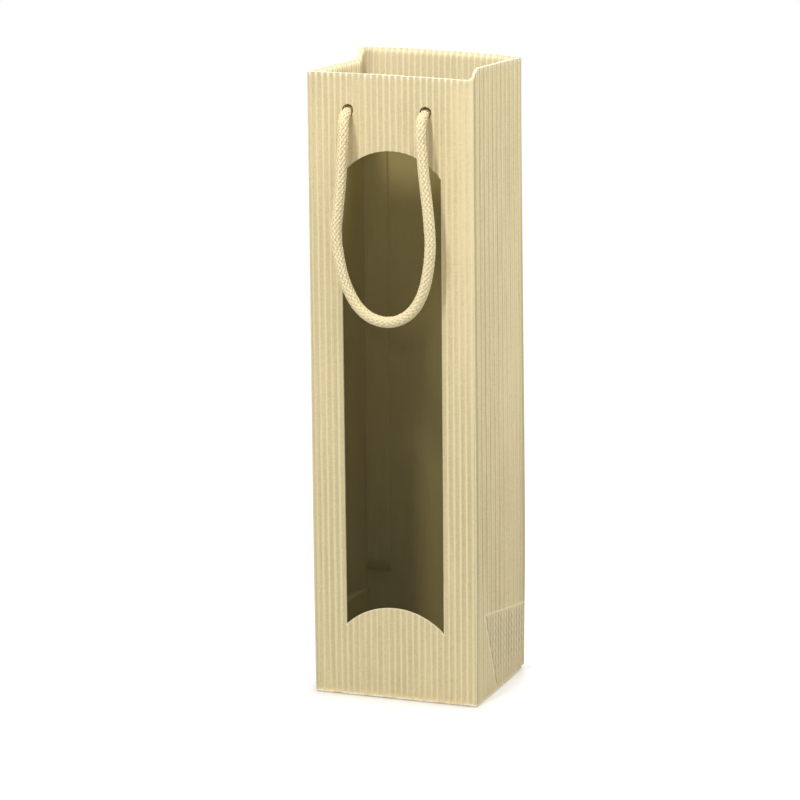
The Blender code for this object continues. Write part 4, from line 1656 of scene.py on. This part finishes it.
def add_camera():
    """The photograph's camera. Its frame is square."""
    back = way_from(CAMERA_AZIMUTH, CAMERA_ELEVATION)
    right = Vector((math.cos(CAMERA_AZIMUTH), math.sin(CAMERA_AZIMUTH), 0.0))
    up = back.cross(right)
    turned_right = right * math.cos(CAMERA_ROLL) - up * math.sin(CAMERA_ROLL)
    turned_up = right * math.sin(CAMERA_ROLL) + up * math.cos(CAMERA_ROLL)
    aim = Vector((0.0, 0.0, CAMERA_AIM_HEIGHT))
    aim -= turned_right * CAMERA_AIM_LEFT + turned_up * CAMERA_AIM_DOWN
    data = bpy.data.cameras.new("camera")
    data.lens = CAMERA_LENS
    data.sensor_width = CAMERA_SENSOR
    data.sensor_fit = "HORIZONTAL"
    data.clip_end = CAMERA_CLIP_END
    camera = new_object("camera", data)
    axes = Matrix((turned_right, turned_up, back)).transposed().to_4x4()
    camera.matrix_world = Matrix.Translation(aim + back * CAMERA_DISTANCE) @ axes
    bpy.context.scene.camera = camera


def seen_plain(graph):
    """1 for rays that show the background: from the camera, in gloss or through glass."""
    path = graph.node("ShaderNodeLightPath", output="Is Camera Ray")
    glossy, through = graph.outputs(path, "Is Glossy Ray", "Is Transmission Ray")
    return (path + glossy + through).smaller(1.0)


def add_floor():
    """A plain white floor that keeps the bag's shadow."""
    material, graph, place = start_material("floor")
    x, y, z = graph.split(place)
    gap = (abs(x) - HALF_WIDTH).larger(abs(y) - HALF_DEPTH)
    near = gap.step(*WARM_FLOOR)
    grey = graph.mixed(graph.noise(place, *FLOOR_GRAIN), *FLOOR_GREYS)
    glow = FLOOR_GLOW + gap.step(*FOOT_SHADOW) * OPEN_FLOOR_GLOW
    inputs = {
        "Base Color": graph.mixed(near, grey, WARM_GREY),
        "Roughness": FLOOR_ROUGHNESS,
        "Emission Color": graph.mixed(near, WHITE, WARM_GLOW),
        "Emission Strength": seen_plain(graph) * glow,
    }
    shader = graph.node("ShaderNodeBsdfPrincipled", inputs=inputs)
    graph.node("ShaderNodeOutputMaterial", inputs={"Surface": shader})
    mesh = bpy.data.meshes.new("floor")
    low, high = -FLOOR_HALF, FLOOR_HALF
    corners = [(low, low, 0.0), (high, low, 0.0), (high, high, 0.0), (low, high, 0.0)]
    mesh.from_pydata(corners, [], [(0, 1, 2, 3)])
    mesh.materials.append(material)
    new_object("floor", mesh)


def light_world():
    """Even light from all round, under a background that is seen as white."""
    world = bpy.data.worlds.new("studio")
    world.use_nodes = True
    bpy.context.scene.world = world
    graph = Graph(world.node_tree)
    seen = seen_plain(graph)
    inputs = {"Color": WHITE, "Strength": seen + (1.0 - seen) * WORLD_LIGHT}
    shader = graph.node("ShaderNodeBackground", inputs=inputs)
    graph.node("ShaderNodeOutputWorld", inputs={"Surface": shader})


class BAG_OT_stage(bpy.types.Operator):
    """Sets up the camera, the floor and the soft studio light"""

    bl_idname = "bag.stage"
    bl_label = "Stage"

    def execute(self, context):
        context.scene.view_settings.view_transform = "Standard"
        add_camera()
        add_floor()
        light_world()
        for lamp in LAMPS:
            add_lamp(*lamp)
        return {"FINISHED"}


class BAG_PT_panel(bpy.types.Panel):
    """Sizes, colours and steps of the bottle bag"""

    bl_idname = "BAG_PT_panel"
    bl_label = "Bottle bag"
    bl_space_type = "VIEW_3D"
    bl_region_type = "UI"
    bl_category = "Bottle bag"

    def draw(self, context):
        for group in (context.scene.bag_sizes, context.scene.bag_colours):
            for name in type(group).__annotations__:
                self.layout.prop(group, name)
        for step in STEPS:
            self.layout.operator(step.bl_idname)


STEPS = (BAG_OT_stage, BAG_OT_handle, BAG_OT_knots, BAG_OT_walls, BAG_OT_film, BAG_OT_bottom)
CLASSES = (BagSizes, BagColours) + STEPS + (BAG_PT_panel,)


def register():
    for item in CLASSES:
        bpy.utils.register_class(item)
    bpy.types.Scene.bag_sizes = bpy.props.PointerProperty(type=BagSizes)
    bpy.types.Scene.bag_colours = bpy.props.PointerProperty(type=BagColours)


def unregister():
    del bpy.types.Scene.bag_colours
    del bpy.types.Scene.bag_sizes
    for item in reversed(CLASSES):
        bpy.utils.unregister_class(item)


def main():
    register()
    bpy.ops.bag.stage()
    bpy.ops.bag.handle()
    bpy.ops.bag.knots()
    bpy.ops.bag.walls()
    bpy.ops.bag.film()
    bpy.ops.bag.bottom()


if __name__ == "__main__":
    main()
